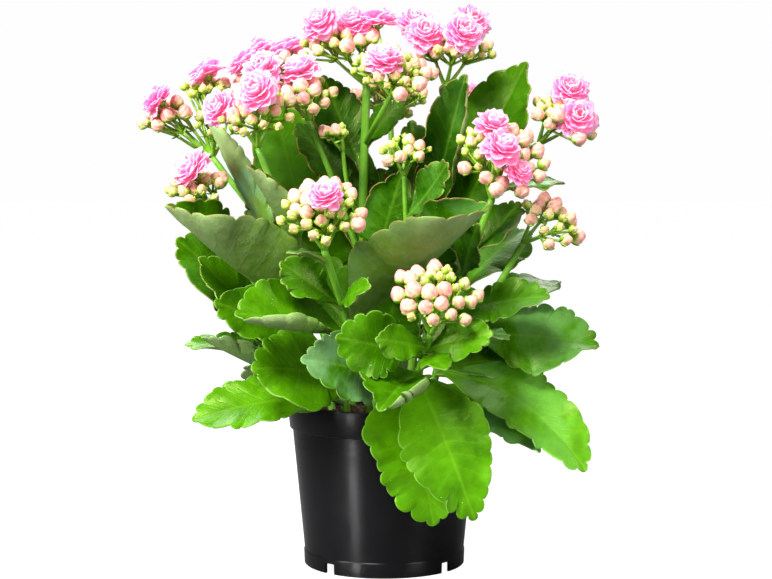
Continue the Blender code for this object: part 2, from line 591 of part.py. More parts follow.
def blade_point(leaf, shape, along, across, lift):
    """Place a point of the flat leaf on the bent blade, lifted off its middle surface."""
    foot, middle, tip, side = shape
    left, right, twist = leaf[8:]
    spine = foot * (1 - along) ** 2 + middle * (2 * along * (1 - along)) + tip * along ** 2
    ahead = ((middle - foot) * (1 - along) + (tip - middle) * along).normalized()
    up = side.cross(ahead).normalized()
    turn = math.radians(twist) * (along - 0.5)
    side, up = side * math.cos(turn) + up * math.sin(turn), up * math.cos(turn) - side * math.sin(turn)
    fold = math.radians(right if across > 0 else left)
    reach = abs(across)
    start = fold * ROOT_FOLD
    bend = fold * EDGE_FOLD / max(half_width(leaf, along), MM)
    slope = start + bend * reach
    if abs(fold) > 1e-4:
        out = (math.sin(slope) - math.sin(start)) / bend
        rise = (math.cos(start) - math.cos(slope)) / bend
    else:
        out, rise = reach, 0.0
    direction = 1.0 if across > 0 else -1.0
    outward = side * direction
    normal = up * math.cos(slope) - outward * math.sin(slope)
    return spine + outward * out + up * rise + normal * lift


def add_leaf(builder, leaf, stems, clearance):
    """Add one leaf as a closed solid that is thick at the midrib and sharp at the margin."""
    shape = blade(leaf, stems, clearance)
    rings = []
    for along in LEAF_ROWS:
        width = half_width(leaf, along)
        upper = []
        lower = []
        for share in LEAF_COLUMNS:
            depth = LEAF_THICKNESS / 2 * (1.0 - share ** 2)
            across = share * width
            upper.append(blade_point(leaf, shape, along, across, depth))
            if abs(share) < 1.0:
                lower.append(blade_point(leaf, shape, along, across, -depth))
        rings.append(upper + lower[::-1])
    rings.append([shape[2]])
    add_rings(builder, rings)


def build_leaves(stems):
    """Build every leaf as its own piece, just clear of its stem."""
    for leaf in LEAVES:
        builder = bmesh.new()
        add_leaf(builder, leaf, stems, LEAF_CLEARANCE)
        add_object(leaf[0], builder, LEAF_GREEN)


def shade_round():
    """Shade the turned and grown pieces smooth, with sharp corners kept."""
    for item in bpy.data.objects:
        item.data.shade_smooth()
        item.data.set_sharp_from_angle(angle=math.radians(40))


def main():
    clear_scene()
    stems = read_stems()
    build_pot()
    build_soil(stems)
    build_shoots(stems)
    build_leaves(stems)
    shade_round()


main()
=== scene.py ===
"""The looks of a potted kalanchoe: its leaves, stems, buds, flowers, soil and pot, and the studio.

Metres, +Z up, and -Y is the front.  The tables repeat the plant's own layout in millimetres: each
leaf, stem and flower head grows where its plain solid stands, and is shown in its place.
"""

import math
import random
from collections import namedtuple

import bmesh
import bpy
import numpy as np
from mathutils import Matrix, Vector, noise


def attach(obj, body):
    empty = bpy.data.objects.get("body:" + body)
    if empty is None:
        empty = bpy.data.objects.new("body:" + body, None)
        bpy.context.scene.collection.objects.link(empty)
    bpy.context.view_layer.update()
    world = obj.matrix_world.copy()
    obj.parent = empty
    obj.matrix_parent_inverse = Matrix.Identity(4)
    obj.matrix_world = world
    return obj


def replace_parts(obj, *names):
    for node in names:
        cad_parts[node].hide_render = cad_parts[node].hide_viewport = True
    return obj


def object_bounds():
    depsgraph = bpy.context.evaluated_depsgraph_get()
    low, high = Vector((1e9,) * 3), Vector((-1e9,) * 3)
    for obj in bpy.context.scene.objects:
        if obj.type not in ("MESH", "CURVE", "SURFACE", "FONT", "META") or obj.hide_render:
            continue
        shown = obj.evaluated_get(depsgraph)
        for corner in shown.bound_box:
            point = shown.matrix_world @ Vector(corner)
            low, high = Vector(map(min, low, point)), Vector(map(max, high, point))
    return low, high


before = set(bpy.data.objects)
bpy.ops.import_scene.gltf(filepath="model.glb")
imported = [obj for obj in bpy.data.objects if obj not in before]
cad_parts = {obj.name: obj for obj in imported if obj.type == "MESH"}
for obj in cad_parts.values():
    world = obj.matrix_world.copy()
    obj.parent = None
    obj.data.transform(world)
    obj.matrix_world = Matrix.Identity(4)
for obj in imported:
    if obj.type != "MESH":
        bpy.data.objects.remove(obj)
FRAME_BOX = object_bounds()

MM = 0.001
ROOT = "root"

# Name, shoot that it belongs to, points of its route from its root or fork, foot and top radius.
STEMS = (
    ("left", "shoot_left",
     ((-28, 14, 68), (-34, 15, 100), (-62, 19, 178), (-99, 20, 231)), 2.4, 1.7),
    ("left_front", "shoot_left_front",
     ((-19, -12, 68), (-24, -15, 100), (-48, -24, 175), (-69, -30, 235)), 2.5, 1.8),
    ("lower_left", "shoot_left_front",
     ((-26, -16, 110), (-46, -19, 134), (-66, -20, 152), (-96, -15, 200)), 2.0, 1.6),
    ("back_left", "shoot_back_left",
     ((-18, 24, 68), (-21, 27, 100), (-45, 40, 180), (-68, 50, 259)), 2.3, 1.7),
    ("far_back_left", "shoot_back_left",
     ((-30, 32, 132), (-42, 60, 190), (-46, 74, 240)), 1.9, 1.6),
    ("centre", "shoot_centre",
     ((-5, 8, 68), (-7, 8, 110), (-12, 6, 190), (-10, 0, 271)), 3.2, 2.3),
    ("top_centre", "shoot_centre",
     ((-11, 3, 238), (-4, -14, 250), (4, -25, 264)), 1.7, 1.5),
    ("left_centre", "shoot_centre",
     ((-12, 7, 168), (-28, -6, 215), (-42, -15, 251)), 1.8, 1.5),
    ("small_left", "shoot_centre",
     ((-12, 6, 188), (-20, -12, 212), (-23, -20, 234)), 1.3, 1.1),
    ("right_top", "shoot_right_top",
     ((14, 12, 68), (16, 12, 110), (25, 12, 190), (35, 10, 270)), 2.8, 2.1),
    ("small_centre", "shoot_right_top",
     ((18, 12, 140), (13, -18, 182), (11, -30, 220)), 1.7, 1.4),
    ("far_right", "shoot_right_top",
     ((19, 12, 150), (48, 12, 192), (88, 10, 238)), 2.0, 1.6),
    ("right", "shoot_right",
     ((24, -10, 68), (27, -13, 100), (42, -34, 160), (58, -45, 207)), 2.5, 1.8),
    ("right_low", "shoot_right",
     ((32, -20, 118), (50, -26, 140), (63, -28, 160), (76, -30, 183)), 2.1, 1.8),
    ("front_left", "shoot_front_left",
     ((-6, -26, 68), (-9, -33, 96), (-19, -58, 140), (-31, -80, 181)), 2.5, 1.9),
    ("front", "shoot_front",
     ((10, -30, 68), (13, -37, 95), (18, -66, 114), (24, -88, 138)), 2.4, 1.8),
    ("back", "shoot_back",
     ((4, 30, 68), (4, 33, 100), (6, 60, 190), (4, 80, 250)), 2.4, 1.7),
    ("back_right", "shoot_back",
     ((4, 39, 125), (34, 58, 190), (58, 68, 240)), 2.0, 1.6),
)

# Stem, centre of the head's base, way that it faces, radius, number of buds, and its open flowers.
Head = namedtuple("Head", "stem centre facing radius buds flowers")
HEADS = (
    ("left", (-126, 18, 253), (-0.4, -0.3, 1.0), 14, 10, ((-130, 10, 264),)),
    ("left", (-97, 18, 249), (0.0, -0.5, 1.0), 14, 10, ()),
    ("left", (-104, 38, 270), (-0.1, -0.1, 1.0), 13, 8, ((-105, 36, 281),)),
    ("lower_left", (-104, -18, 212), (-0.2, -0.4, 1.0), 17, 14, ((-106, -26, 225),)),
    ("left_front", (-70, -34, 254), (-0.1, -0.6, 0.9), 22, 20,
     ((-68, -51, 265), (-90, -36, 257), (-67, -22, 279))),
    ("left_centre", (-44, -18, 264), (0.0, -0.5, 1.0), 18, 14, ((-47, -20, 279),)),
    ("back_left", (-68, 50, 281), (-0.2, 0.1, 1.0), 20, 16,
     ((-83, 45, 288), (-76, 60, 296), (-58, 53, 297))),
    ("far_back_left", (-46, 78, 256), (-0.2, 0.5, 1.0), 20, 16,
     ((-50, 90, 266), (-36, 82, 268))),
    ("centre", (-27, 4, 294), (-0.2, -0.2, 1.0), 22, 18,
     ((-36, -9, 306), (-33, 18, 309), (-17, -1, 307))),
    ("top_centre", (4, -25, 276), (0.1, -0.5, 1.0), 23, 22, ((-4, -2, 308), (0, -36, 283))),
    ("small_left", (-26, -21, 243), (-0.3, -0.4, 1.0), 8, 5, ()),
    ("right_top", (40, 9, 291), (0.1, -0.3, 1.0), 22, 20,
     ((23, 0, 300), (44, -10, 300), (18, 22, 309), (50, 18, 309))),
    ("small_centre", (11, -30, 234), (0.0, -0.5, 1.0), 14, 14, ()),
    ("far_right", (101, 6, 252), (0.4, -0.3, 1.0), 19, 16, ((105, 3, 269), (108, -7, 253))),
    ("right", (62, -46, 230), (0.2, -0.8, 0.8), 25, 24,
     ((58, -54, 248), (62, -64, 235), (72, -62, 223))),
    ("right_low", (90, -32, 194), (0.5, -0.5, 0.8), 19, 20, ()),
    ("front_left", (-32, -84, 200), (0.0, -0.7, 0.8), 22, 22, ((-30, -101, 210),)),
    ("front", (27, -93, 157), (0.1, -0.8, 0.8), 22, 26, ()),
    ("back", (4, 84, 268), (0.0, 0.4, 1.0), 22, 18, ((-2, 94, 280), (12, 84, 282))),
    ("back_right", (62, 70, 256), (0.3, 0.4, 1.0), 21, 16, ((66, 80, 267), (54, 72, 269))),
)

# Name, stem, height on it, tip, way that the upper face looks, width, share of the length at which it
# is widest, bow of the midrib, and the angles in degrees by which the left and right halves bend up
# and the whole blade twists.
Leaf = namedtuple("Leaf", "name stem height tip face width widest bow left_bend right_bend twist")
LEAVES = (
    ("leaf_front_1", "front", 113, (47, -84, 41), (0, -1, 0.3), 46, 0.4, 24, 0, -6, 0),
    ("leaf_front_2", "front", 104, (26, -64, 34), (0, -1, 0.15), 60, 0.32, 24, 0, 0, 0),
    ("leaf_front_3", "front_left", 101, (-102, -56, 89), (0, -0.55, 0.83), 42, 0.6, 8, 0, 0, 0),
    ("leaf_front_4", "front_left", 108, (-69, -72, 118), (-0.2, -0.8, 0.6), 52, 0.57, 6, 0, 0, 0),
    ("leaf_front_5", "front", 110, (-42, -92, 125), (0, -1, 0.4), 38, 0.6, 6, 0, 0, 0),
    ("leaf_front_6", "front_left", 133, (-76, -88, 148), (0, -0.75, 0.65), 52, 0.57, 6, 40, 0, 0),
    ("leaf_front_7", "front", 126, (-24, -98, 137), (-0.3, -1, 0.2), 34, 0.6, 6, 0, 0, 0),
    ("leaf_front_8", "front", 130, (-4, -108, 137), (-0.1, -1, 0.3), 19, 0.57, 3, 0, 0, 0),
    ("leaf_front_9", "front", 129, (55, -100, 139), (0, -0.9, 0.5), 25, 0.57, 4, 0, 0, 0),
    ("leaf_front_10", "front", 125, (31, -112, 122), (0.1, -0.9, 0.5), 16, 0.57, 3, 0, 0, 0),
    ("leaf_front_11", "front", 116, (-2, -114, 102), (0.2, -0.6, 0.75), 42, 0.55, 6, 22, 0, 0),
    ("leaf_front_12", "front_left", 150, (-54, -76, 174), (0.3, -0.9, 0.5), 24, 0.6, 0, 0, 0, 0),
    ("leaf_front_13", "front_left", 141, (54, -75, 204), (-0.4, 0.3, 1), 80, 0.44, -6, 35, 33, -30),
    ("leaf_right_1", "right_low", 132, (118, -26, 126), (0, -0.8, 0.6), 46, 0.57, 8, -8, -15, 0),
    ("leaf_right_2", "right", 110, (109, -45, 60), (0.3, -0.65, 0.65), 46, 0.5, 34, 0, 0, 0),
    ("leaf_right_3", "right", 103, (84, -52, 71), (0.3, -0.8, 0.5), 24, 0.5, 16, 0, 0, 0),
    ("leaf_right_4", "right", 143, (88, -56, 155), (0, -0.7, 0.7), 28, 0.57, 5, 0, 0, 0),
    ("leaf_right_5", "right_low", 148, (99, 2, 160), (-0.2, -0.5, 0.8), 30, 0.57, 5, 0, 0, 0),
    ("leaf_right_6", "right", 124, (61, -82, 135), (0.2, -0.6, 0.8), 32, 0.57, 5, 0, 0, 0),
    ("leaf_right_7", "right", 178, (74, -30, 205), (-0.3, -0.8, 0.5), 26, 0.57, -4, 0, 0, 0),
    ("leaf_right_8", "right", 156, (81, 8, 189), (-0.3, -0.7, 0.6), 34, 0.57, 5, 0, 0, 0),
    ("leaf_right_9", "small_centre", 148, (32, -48, 183), (0.2, -0.7, 0.3), 34, 0.5, 2, 0, 0, 0),
    ("leaf_right_10", "right_top", 192, (81, 12, 284), (-0.4, -0.7, 0.5), 48, 0.6, -11, 8, 8, 0),
    ("leaf_right_11", "right_top", 178, (45, -20, 275), (-0.3, -0.9, 0.1), 36, 0.6, 7, 25, 25, 0),
    ("leaf_left_1", "left_front", 141, (-116, -54, 203), (0.1, 0.1, 1), 68, 0.5, -8, 45, 45, 25),
    ("leaf_left_2", "left", 117, (-116, -10, 184), (0.3, -0.8, 0.4), 48, 0.62, -2, 6, 6, 0),
    ("leaf_left_3", "left_front", 103, (-102, -22, 174), (0.4, -0.7, 0.6), 48, 0.6, -12, 16, 8, 0),
    ("leaf_left_4", "left_front", 123, (-90, -58, 152), (0, -0.8, 0.6), 38, 0.57, 3, 0, 0, 0),
    ("leaf_left_5", "left", 106, (-113, 2, 124), (0, -0.2, 1), 34, 0.57, 6, 10, 10, 0),
    ("leaf_left_6", "left_front", 93, (-99, -42, 132), (0.3, 0.3, 0.9), 28, 0.57, -2, 30, 30, 0),
    ("leaf_left_7", "back_left", 185, (-64, 20, 262), (0.1, -0.9, 0.3), 42, 0.57, 5, 0, 0, 0),
    ("leaf_left_8", "left_front", 156, (-99, -2, 250), (0.75, 0.5, 0.5), 27, 0.64, -4, 0, 0, 0),
    ("leaf_left_9", "left_front", 160, (-72, -60, 224), (-0.2, -0.4, 0.8), 30, 0.66, 6, 30, 30, 0),
    ("leaf_top_1", "centre", 200, (-50, 8, 250), (0.3, -0.9, 0.4), 24, 0.57, 0, 0, 0, 0),
    ("leaf_top_2", "centre", 150, (10, -18, 222), (-0.2, -0.9, 0.3), 32, 0.62, 3, 0, 0, 0),
    ("leaf_top_3", "centre", 222, (-35, 14, 277), (0.1, -0.9, 0.4), 28, 0.57, -4, 0, 0, 0),
    ("leaf_top_4", "small_centre", 196, (34, -52, 226), (-0.3, -0.8, 0.5), 24, 0.57, -3, 0, 0, 0),
    ("leaf_back_1", "back", 104, (-12, 110, 74), (0, 0.6, 0.8), 52, 0.57, 30, 0, 0, 0),
    ("leaf_back_2", "back_left", 106, (-84, 66, 92), (-0.4, 0.5, 0.8), 46, 0.57, 16, 0, 0, 0),
    ("leaf_back_3", "back_left", 128, (-78, 92, 140), (-0.3, 0.4, 0.9), 44, 0.57, 14, 0, 0, 0),
    ("leaf_back_4", "back", 122, (48, 106, 122), (0.2, 0.4, 0.9), 46, 0.57, 12, 0, 0, 0),
    ("leaf_back_5", "right_top", 108, (86, 60, 104), (0.4, 0.4, 0.8), 48, 0.57, 16, 0, 0, 0),
    ("leaf_back_6", "back", 146, (-24, 112, 172), (-0.1, 0.2, 1), 42, 0.57, 10, 12, 12, 0),
    ("leaf_back_7", "back", 172, (58, 108, 190), (0.1, 0.2, 1), 38, 0.57, 8, 12, 12, 0),
    ("leaf_back_8", "right_top", 128, (82, 58, 176), (0.1, 0.2, 1), 42, 0.57, 8, 15, 15, 0),
    ("leaf_back_9", "left", 113, (-98, 60, 140), (-0.2, 0.2, 1), 42, 0.57, 8, 8, 8, 0),
    ("leaf_middle_1", "centre", 116, (-52, 2, 176), (0.2, -0.8, 0.5), 42, 0.6, 0, 0, 0, 0),
    ("leaf_middle_2", "right_top", 106, (64, 1, 149), (0.1, -0.7, 0.6), 46, 0.6, 8, 0, 0, 0),
    ("leaf_middle_3", "centre", 100, (8, -40, 158), (0, -0.9, 0.4), 38, 0.6, 6, 0, 0, 0),
)

# The small leaves and bracts of the shoots, in the same columns.
BRACTS = (
    ("bract_front", "front_left", 152, (-7, -101, 163), (-0.9, 0.2, 0.3), 16, 0.57, 3, 0, 0, 0),
    ("bract_fork", "front_left", 176, (-50, -90, 180), (0, -0.3, 1), 9, 0.57, 2, 0, 0, 0),
    ("bract_right", "right", 164, (50, -62, 194), (-0.2, -0.8, 0.4), 18, 0.57, 3, 0, 0, 0),
    ("bract_far_right", "far_right", 212, (104, 20, 216), (0, -0.4, 1), 18, 0.57, 4, 0, 0, 0),
    ("bract_centre", "centre", 236, (11, -3, 263), (-0.2, -0.9, 0.4), 18, 0.57, 3, 0, 0, 0),
    ("inner_leaf_1", "back", 120, (-8, 30, 196), (0.1, -0.9, 0.3), 36, 0.6, 4, 0, 0, 0),
    ("inner_leaf_2", "left", 150, (-73, 9, 222), (0.2, -0.9, 0.3), 28, 0.6, 2, 0, 0, 0),
    ("inner_leaf_3", "right_top", 158, (60, -14, 230), (-0.2, -0.9, 0.3), 34, 0.64, 0, 0, 0, 0),
    ("inner_leaf_4", "back_left", 140, (-35, 20, 212), (0.1, -0.9, 0.3), 32, 0.6, 4, 0, 0, 0),
    ("inner_leaf_5", "back", 136, (28, 38, 222), (-0.1, -0.9, 0.3), 42, 0.6, 0, 0, 0, 0),
    ("inner_leaf_6", "centre", 158, (-26, 24, 252), (0.3, -0.9, 0.3), 34, 0.6, 3, 8, 8, 0),
    ("inner_leaf_7", "right_top", 160, (16, 30, 252), (-0.2, -0.9, 0.3), 32, 0.62, 2, 10, 6, 0),
    ("inner_leaf_8", "back", 150, (-8, 44, 226), (0.2, -0.9, 0.3), 40, 0.6, 0, 8, 4, 0),
    ("inner_leaf_9", "back", 132, (-26, 88, 214), (-0.3, 0.9, 0.4), 36, 0.6, 6, 8, 8, 0),
    ("inner_leaf_10", "back", 156, (30, 96, 232), (0.2, 0.9, 0.4), 34, 0.6, 5, 8, 6, 0),
    ("inner_leaf_11", "back_left", 150, (-72, 76, 222), (-0.4, 0.8, 0.4), 34, 0.6, 5, 8, 8, 0),
    ("inner_leaf_12", "right_top", 140, (62, 60, 214), (0.3, 0.8, 0.4), 36, 0.6, 6, 8, 8, 0),
    ("inner_leaf_13", "back", 112, (22, 92, 166), (0.1, 0.8, 0.6), 42, 0.6, 10, 6, 6, 0),
    ("inner_leaf_14", "back_left", 116, (-52, 96, 160), (-0.3, 0.8, 0.6), 40, 0.6, 10, 6, 6, 0),
    ("inner_leaf_15", "right", 112, (94, -8, 114), (0.1, -0.7, 0.7), 36, 0.5, 10, 6, 6, 0),
)

# Angles in degrees by which a leaf's left and right margins roll up beyond the bend of the blade.
ROLLS = {
    "leaf_front_5": (25, 0),
    "leaf_front_6": (75, 0),
    "leaf_front_11": (115, 0),
    "leaf_left_1": (10, -25),
    "leaf_left_3": (0, 60),
    "leaf_left_6": (40, 80),
    "leaf_left_7": (30, 20),
    "leaf_left_8": (70, 70),
    "leaf_right_1": (-10, 35),
    "leaf_right_2": (20, 0),
    "leaf_right_7": (0, 45),
    "leaf_right_9": (0, 50),
    "leaf_right_11": (0, 75),
    "leaf_top_2": (40, 0),
}

# Angles in degrees by which the left and right halves bend up further towards the tip.
TIP_FOLDS = {
    "leaf_front_13": (75, -30),
    "leaf_left_1": (-20, 35),
    "leaf_right_1": (0, 35),
    "leaf_right_2": (45, 0),
}

# Leaves that show a pale bluish bloom, and how strongly: partly the wax's own bloom, and partly a painted
# sheen and painted back light that make the leaf look pale.
BLOOMS_AND_SHEENS = {
    "leaf_front_5": 0.6,
    "leaf_front_13": 0.2,
    "leaf_left_6": 0.4,
    "leaf_left_8": 1.0,
    "leaf_right_1": 0.3,
    "leaf_right_2": 0.15,
    "leaf_right_3": 0.5,
}

# How light the numbered leaves of each group are, against the middle tone of the plant: partly each leaf's
# own tone and partly painted light, such as on leaf_right_3, which is lightened though it stands in shade.
TONE_AND_LIGHT_GROUPS = {
    "leaf_front": {1: 0.1, 2: 0.7, 3: 0.6, 4: 0.7, 5: -0.2, 6: 0.3, 7: -0.2, 8: 0.3, 9: 0.6, 10: 0.5,
                   11: 0.3, 12: 0.3, 13: 0.0},
    "leaf_right": {1: 0.1, 2: 0.7, 3: 3.0, 4: 0.5, 5: 1.2, 6: -1.0, 7: -1.0, 8: 0.5, 9: -0.2, 10: 1.1,
                   11: -0.6},
    "leaf_left": {2: 1.0, 3: 0.9, 4: -0.2, 5: 0.4, 6: 0.5, 7: 1.8, 9: -0.2},
    "leaf_top": {1: -0.4, 2: 0.0, 3: -0.8, 4: -0.6},
    "leaf_middle": {1: -0.4, 2: -0.6, 3: -0.4},
    "inner_leaf": {1: -0.8, 6: -0.6, 7: -0.8, 8: -0.8},
}
TONES_AND_PAINTED_LIGHT = {f"{group}_{number}": tone for group, tones in TONE_AND_LIGHT_GROUPS.items() for number, tone in tones.items()}

# What the remaining leaves draw their bloom and tone from.
OTHER_BLOOMS = (0.0, 0.0, 0.08)
OTHER_TONES = (-0.8, 0.8)

# How large the buds of some heads are, where they aren't full size.
BUD_SIZES = {
    "front_left": 0.95,
    "small_centre": 0.78,
    "small_left": 0.86,
}

# How far the open flowers of some heads turn away from the way that they would grow.
FLOWER_TURNS = {
    "centre": (-0.1, -0.8, -0.1),
    "right_top": (0.1, -0.8, -0.1),
    "far_right": (-0.5, -0.9, 0.1),
    "front_left": (0.0, 0.0, 0.7),
    "left_front": (0.0, -0.5, -0.1),
    "right": (-0.1, 0.0, 0.35),
}

# How large the open flowers of some heads are, where they aren't full size.
FLOWER_SIZES = {
    "front_left": (0.9,),
    "right": (0.92, 0.95, 0.66),
}

# Leaf blade: sizes in metres, angles in degrees, and the rest in shares and counts.
PETIOLE_WIDTH = 4.8 * MM
PETIOLE_SHARE = 0.25
PETIOLE_TOP = 0.4 * MM
PETIOLE_BOTTOM = 0.5 * MM
PETIOLE_REACH = 0.22
BASE_SHARPNESS = 1.25
TIP_SHARPNESS = 0.66
ROOT_FOLD = 0.4
EDGE_FOLD = 1.2
MARGIN_LENGTH = 1.25
FEWEST_TEETH = 5
TOOTH_LENGTH = 4.4 * MM
TOOTH_GROWTH = 0.07
TOOTH_DEPTH = 3.0 * MM
TOOTH_SIZES = (0.55, 1.6)
TOOTH_DEPTHS = (0.25, 0.6, 0.9, 1.25)
TOOTH_RANGE = (0.8, 1.2)
TOOTH_SHARE = 0.07
TOOTH_STEPS = 10
TOOTH_ROUNDNESS = 0.55
SMOOTH_SHARE = 0.24
SMOOTH_BLEND = 0.14
UNEVENNESS = 0.05
LONG_WAVES = 7.0
SHORT_WAVES = 15.0
CUPPING = 11.0
CUPPING_RANGE = (0.4, 1.2)
CURL = 12.0
CURL_COUNT = 1.6
ROLL_START = 0.62
TIP_FOLD_START = 0.5
MIDRIB_SHARE = 0.9
OUTLINE_STEPS = 400
MARGIN_INSETS = (0.0, 0.12, 0.4, 0.85, 1.7, 3.4)
MARGIN_SHARES = (0.0, 0.05, 0.12, 0.25, 0.4, 0.6)
INNER_SHARES = (0.72, 0.42, 0.18, 0.0)
MARGIN_ROUNDING = 0.9 * MM
MARGIN_HALF = 0.5 * MM
MIDDLE_HALF = 0.95 * MM
GROOVE_DEPTH = 0.5 * MM
RIB_HEIGHT = 1.1 * MM
RIB_WIDTH = 1.5 * MM
RIB_THINNING = 0.75
RIPPLE = 0.9 * MM
WAVE = 1.9 * MM
WAVE_COUNT = 2.2
AGE_RISE = 1.4
AGE_START = 0.35
CALM_WIDTH = 8.0 * MM

# Stems, heads, buds and flowers; a pair is the range of a random draw.
STEM_STEPS = 40
STEM_SIDES = 14
STALK_STEPS = 6
STALK_SIDES = 8
STALK_FLARE = 1.5
BRANCH_RADIUS = 1.2 * MM * 1.15
BRANCH_TOP_RADIUS = 1.2 * MM * 0.62
BRACT_LENGTH = 4.5 * MM
PEDICEL_RADIUS = 0.68 * MM
BRANCH_REACH = 0.55
GOLDEN_ANGLE = math.pi * (3.0 - math.sqrt(5.0))
QUARTERS = tuple(math.pi * (0.25 + 0.5 * index) for index in range(4))
DOME = 0.42
BUD_RADIUS = 4.2 * MM
BUD_CROWDING = 1.5
BUD_OFFSETS = (-2.8, 2.2)
LARGE_BUDS = (0.88, 1.1)
SMALL_BUDS = (0.42, 0.82)
PUSHES = 30
FLOWER_ROOM = 0.8
BUD_HEIGHT = 1.1
YOUNG_HEIGHT = 0.22
BUD_TOP = 0.985
BUD_SIDES = 24
BUD_RINGS = 12
BUD_FOLD = 0.2
SEPAL_ROWS = 5
SEPAL_SPREAD = 0.78
SEPAL_COVER = 0.4
SEPAL_THICKNESS = 0.42 * MM
SEPAL_FOOT = 0.03
FLOWER_RADIUS = 10.0 * MM
FLOWER_HEIGHT = 12.0 * MM
FLOWER_SCALE = (1.02, 1.18)
OPENNESS = (0.86, 1.04)
CALYX_DROP = 2.4 * MM
CALYX_RADIUS = 3.2 * MM
WHORL_STEP = 0.5 * MM
WHORL_RADIUS = 1.2 * MM
TURN_JITTER = 0.16
PETAL_TILT = 0.25
RISE_JITTER = 9.0
PETAL_SIZES = (0.86, 1.08)
PETAL_CURLS = (-30.0, 0.0)
PETAL_CUPS = (0.1, 0.4)
PLANT_HEART = Vector((0.0, 20.0, 205.0)) * MM
PETAL_THICKNESS = 0.28 * MM
BLADE_ROWS = 6
BLADE_COLUMNS = 4

# Each whorl of an open flower: petals, length in mm, width in mm and rise in degrees.
WHORLS = (
    (10, 10.2, 8.0, 4),
    (10, 10.2, 7.8, 19),
    (9, 9.8, 7.2, 34),
    (8, 9.2, 6.4, 48),
    (7, 8.4, 5.4, 61),
    (5, 7.6, 4.4, 74),
)

# Colours, linear.
LEAF_DARK = (0.008, 0.058, 0.000)
LEAF_LIGHT = (0.068, 0.236, 0.000)
LEAF_VEIN = (0.130, 0.300, 0.012)
# Pale bluish bloom, partly the wax's own colour and partly a painted sheen.
LEAF_BLOOM_AND_SHEEN = (0.140, 0.280, 0.130)
LEAF_SPECK = (0.480, 0.600, 0.300)
UNDER_YOUNG = (0.100, 0.225, 0.020)
UNDER_OLD = (0.088, 0.182, 0.014)
UNDER_PALE = (0.285, 0.370, 0.170)
UNDER_RIB = (0.200, 0.300, 0.080)
# The pale margin line of the lower leaves is a painted highlight along the edge; the red line of the upper
# leaves is their own colour.
RIM_PAINTED_HIGHLIGHT = (0.200, 0.330, 0.060)
RIM_OLD = (0.200, 0.040, 0.025)
STEM_DARK = (0.080, 0.260, 0.008)
STEM_LIGHT = (0.180, 0.420, 0.030)
STEM_SPECK = (0.350, 0.520, 0.120)
STALK_GREEN = (0.240, 0.480, 0.020)
STALK_YELLOW = (0.420, 0.550, 0.040)
BUD_FOOT = (0.380, 0.470, 0.070)
BUD_CREAM = (0.840, 0.510, 0.340)
BUD_PEACH = (0.900, 0.450, 0.360)
BUD_PINK = (0.880, 0.270, 0.310)
# Painted shade: the darker pink along the creases of a bud's petals.
BUD_CREASE_SHADE = (0.780, 0.210, 0.200)
BUD_YOUNG = (0.500, 0.540, 0.140)
# Deep magenta at the petals' feet: partly their own colour, partly a painted shade where the petals overlap.
PETAL_DEEP_AND_SHADE = (0.930, 0.060, 0.240)
PETAL_PINK = (1.000, 0.250, 0.490)
PETAL_PALE = (1.000, 0.350, 0.610)
PETAL_MIDDLE = (1.000, 0.460, 0.500)
# Painted glow: the petals give off a little pink light of their own, standing in for light that shines
# through them.
PETAL_PAINTED_GLOW = 0.15
SOIL_DARK = (0.014, 0.007, 0.004)
SOIL_LIGHT = (0.070, 0.036, 0.020)
SOIL_FIBRE = (0.140, 0.085, 0.045)
POT_BLACK = (0.003, 0.003, 0.0034)
POT_DUST = (0.005, 0.005, 0.0055)

# Studio: each light's name, place, the point that it faces, size, power and spread in degrees.
FLOOR_SIZE = 30.0
WHITE = (1.0, 1.0, 1.0, 1.0)
FLOOR_GREY = (0.14, 0.14, 0.14, 1.0)
FLOOR_GLOW = 0.96
SURROUNDINGS = 0.16
BACKDROP = 0.99
LIGHTS = (
    ("key", (-0.45, -0.95, 1.3), (0.0, 0.0, 0.17), (0.45, 0.45), 46.0, 180.0),
    ("fill", (-0.85, -0.5, 0.55), (0.0, 0.0, 0.21), (0.3, 0.4), 2.4, 70.0),
    ("side", (0.85, -0.8, 0.5), (0.0, 0.0, 0.18), (0.4, 0.6), 8.0, 180.0),
    ("pot", (-0.36, -0.44, 0.035), (-0.02, -0.03, 0.045), (0.36, 0.06), 0.12, 11.0),
    ("low", (0.5, -0.8, 0.03), (0.103, -0.045, 0.07), (0.05, 0.05), 0.03, 8.0),
    ("rim", (-0.2, 0.95, 1.2), (0.0, 0.0, 0.2), (1.4, 0.7), 26.0, 180.0),
)
CAMERA_PLACE = (0.001, -0.935, 0.212)
CAMERA_DIP = math.atan2(99.5, 1650.0)
CAMERA_LENS = 76.9
CAMERA_SENSOR = 36.0


def smooth(low, high, values):
    """Rise gently from 0 at low to 1 at high."""
    share = np.clip((values - low) / (high - low), 0.0, 1.0)
    return share * share * (3.0 - 2.0 * share)


def clamp(value):
    """Limit a number to the range from 0 to 1."""
    return min(1.0, max(0.0, value))


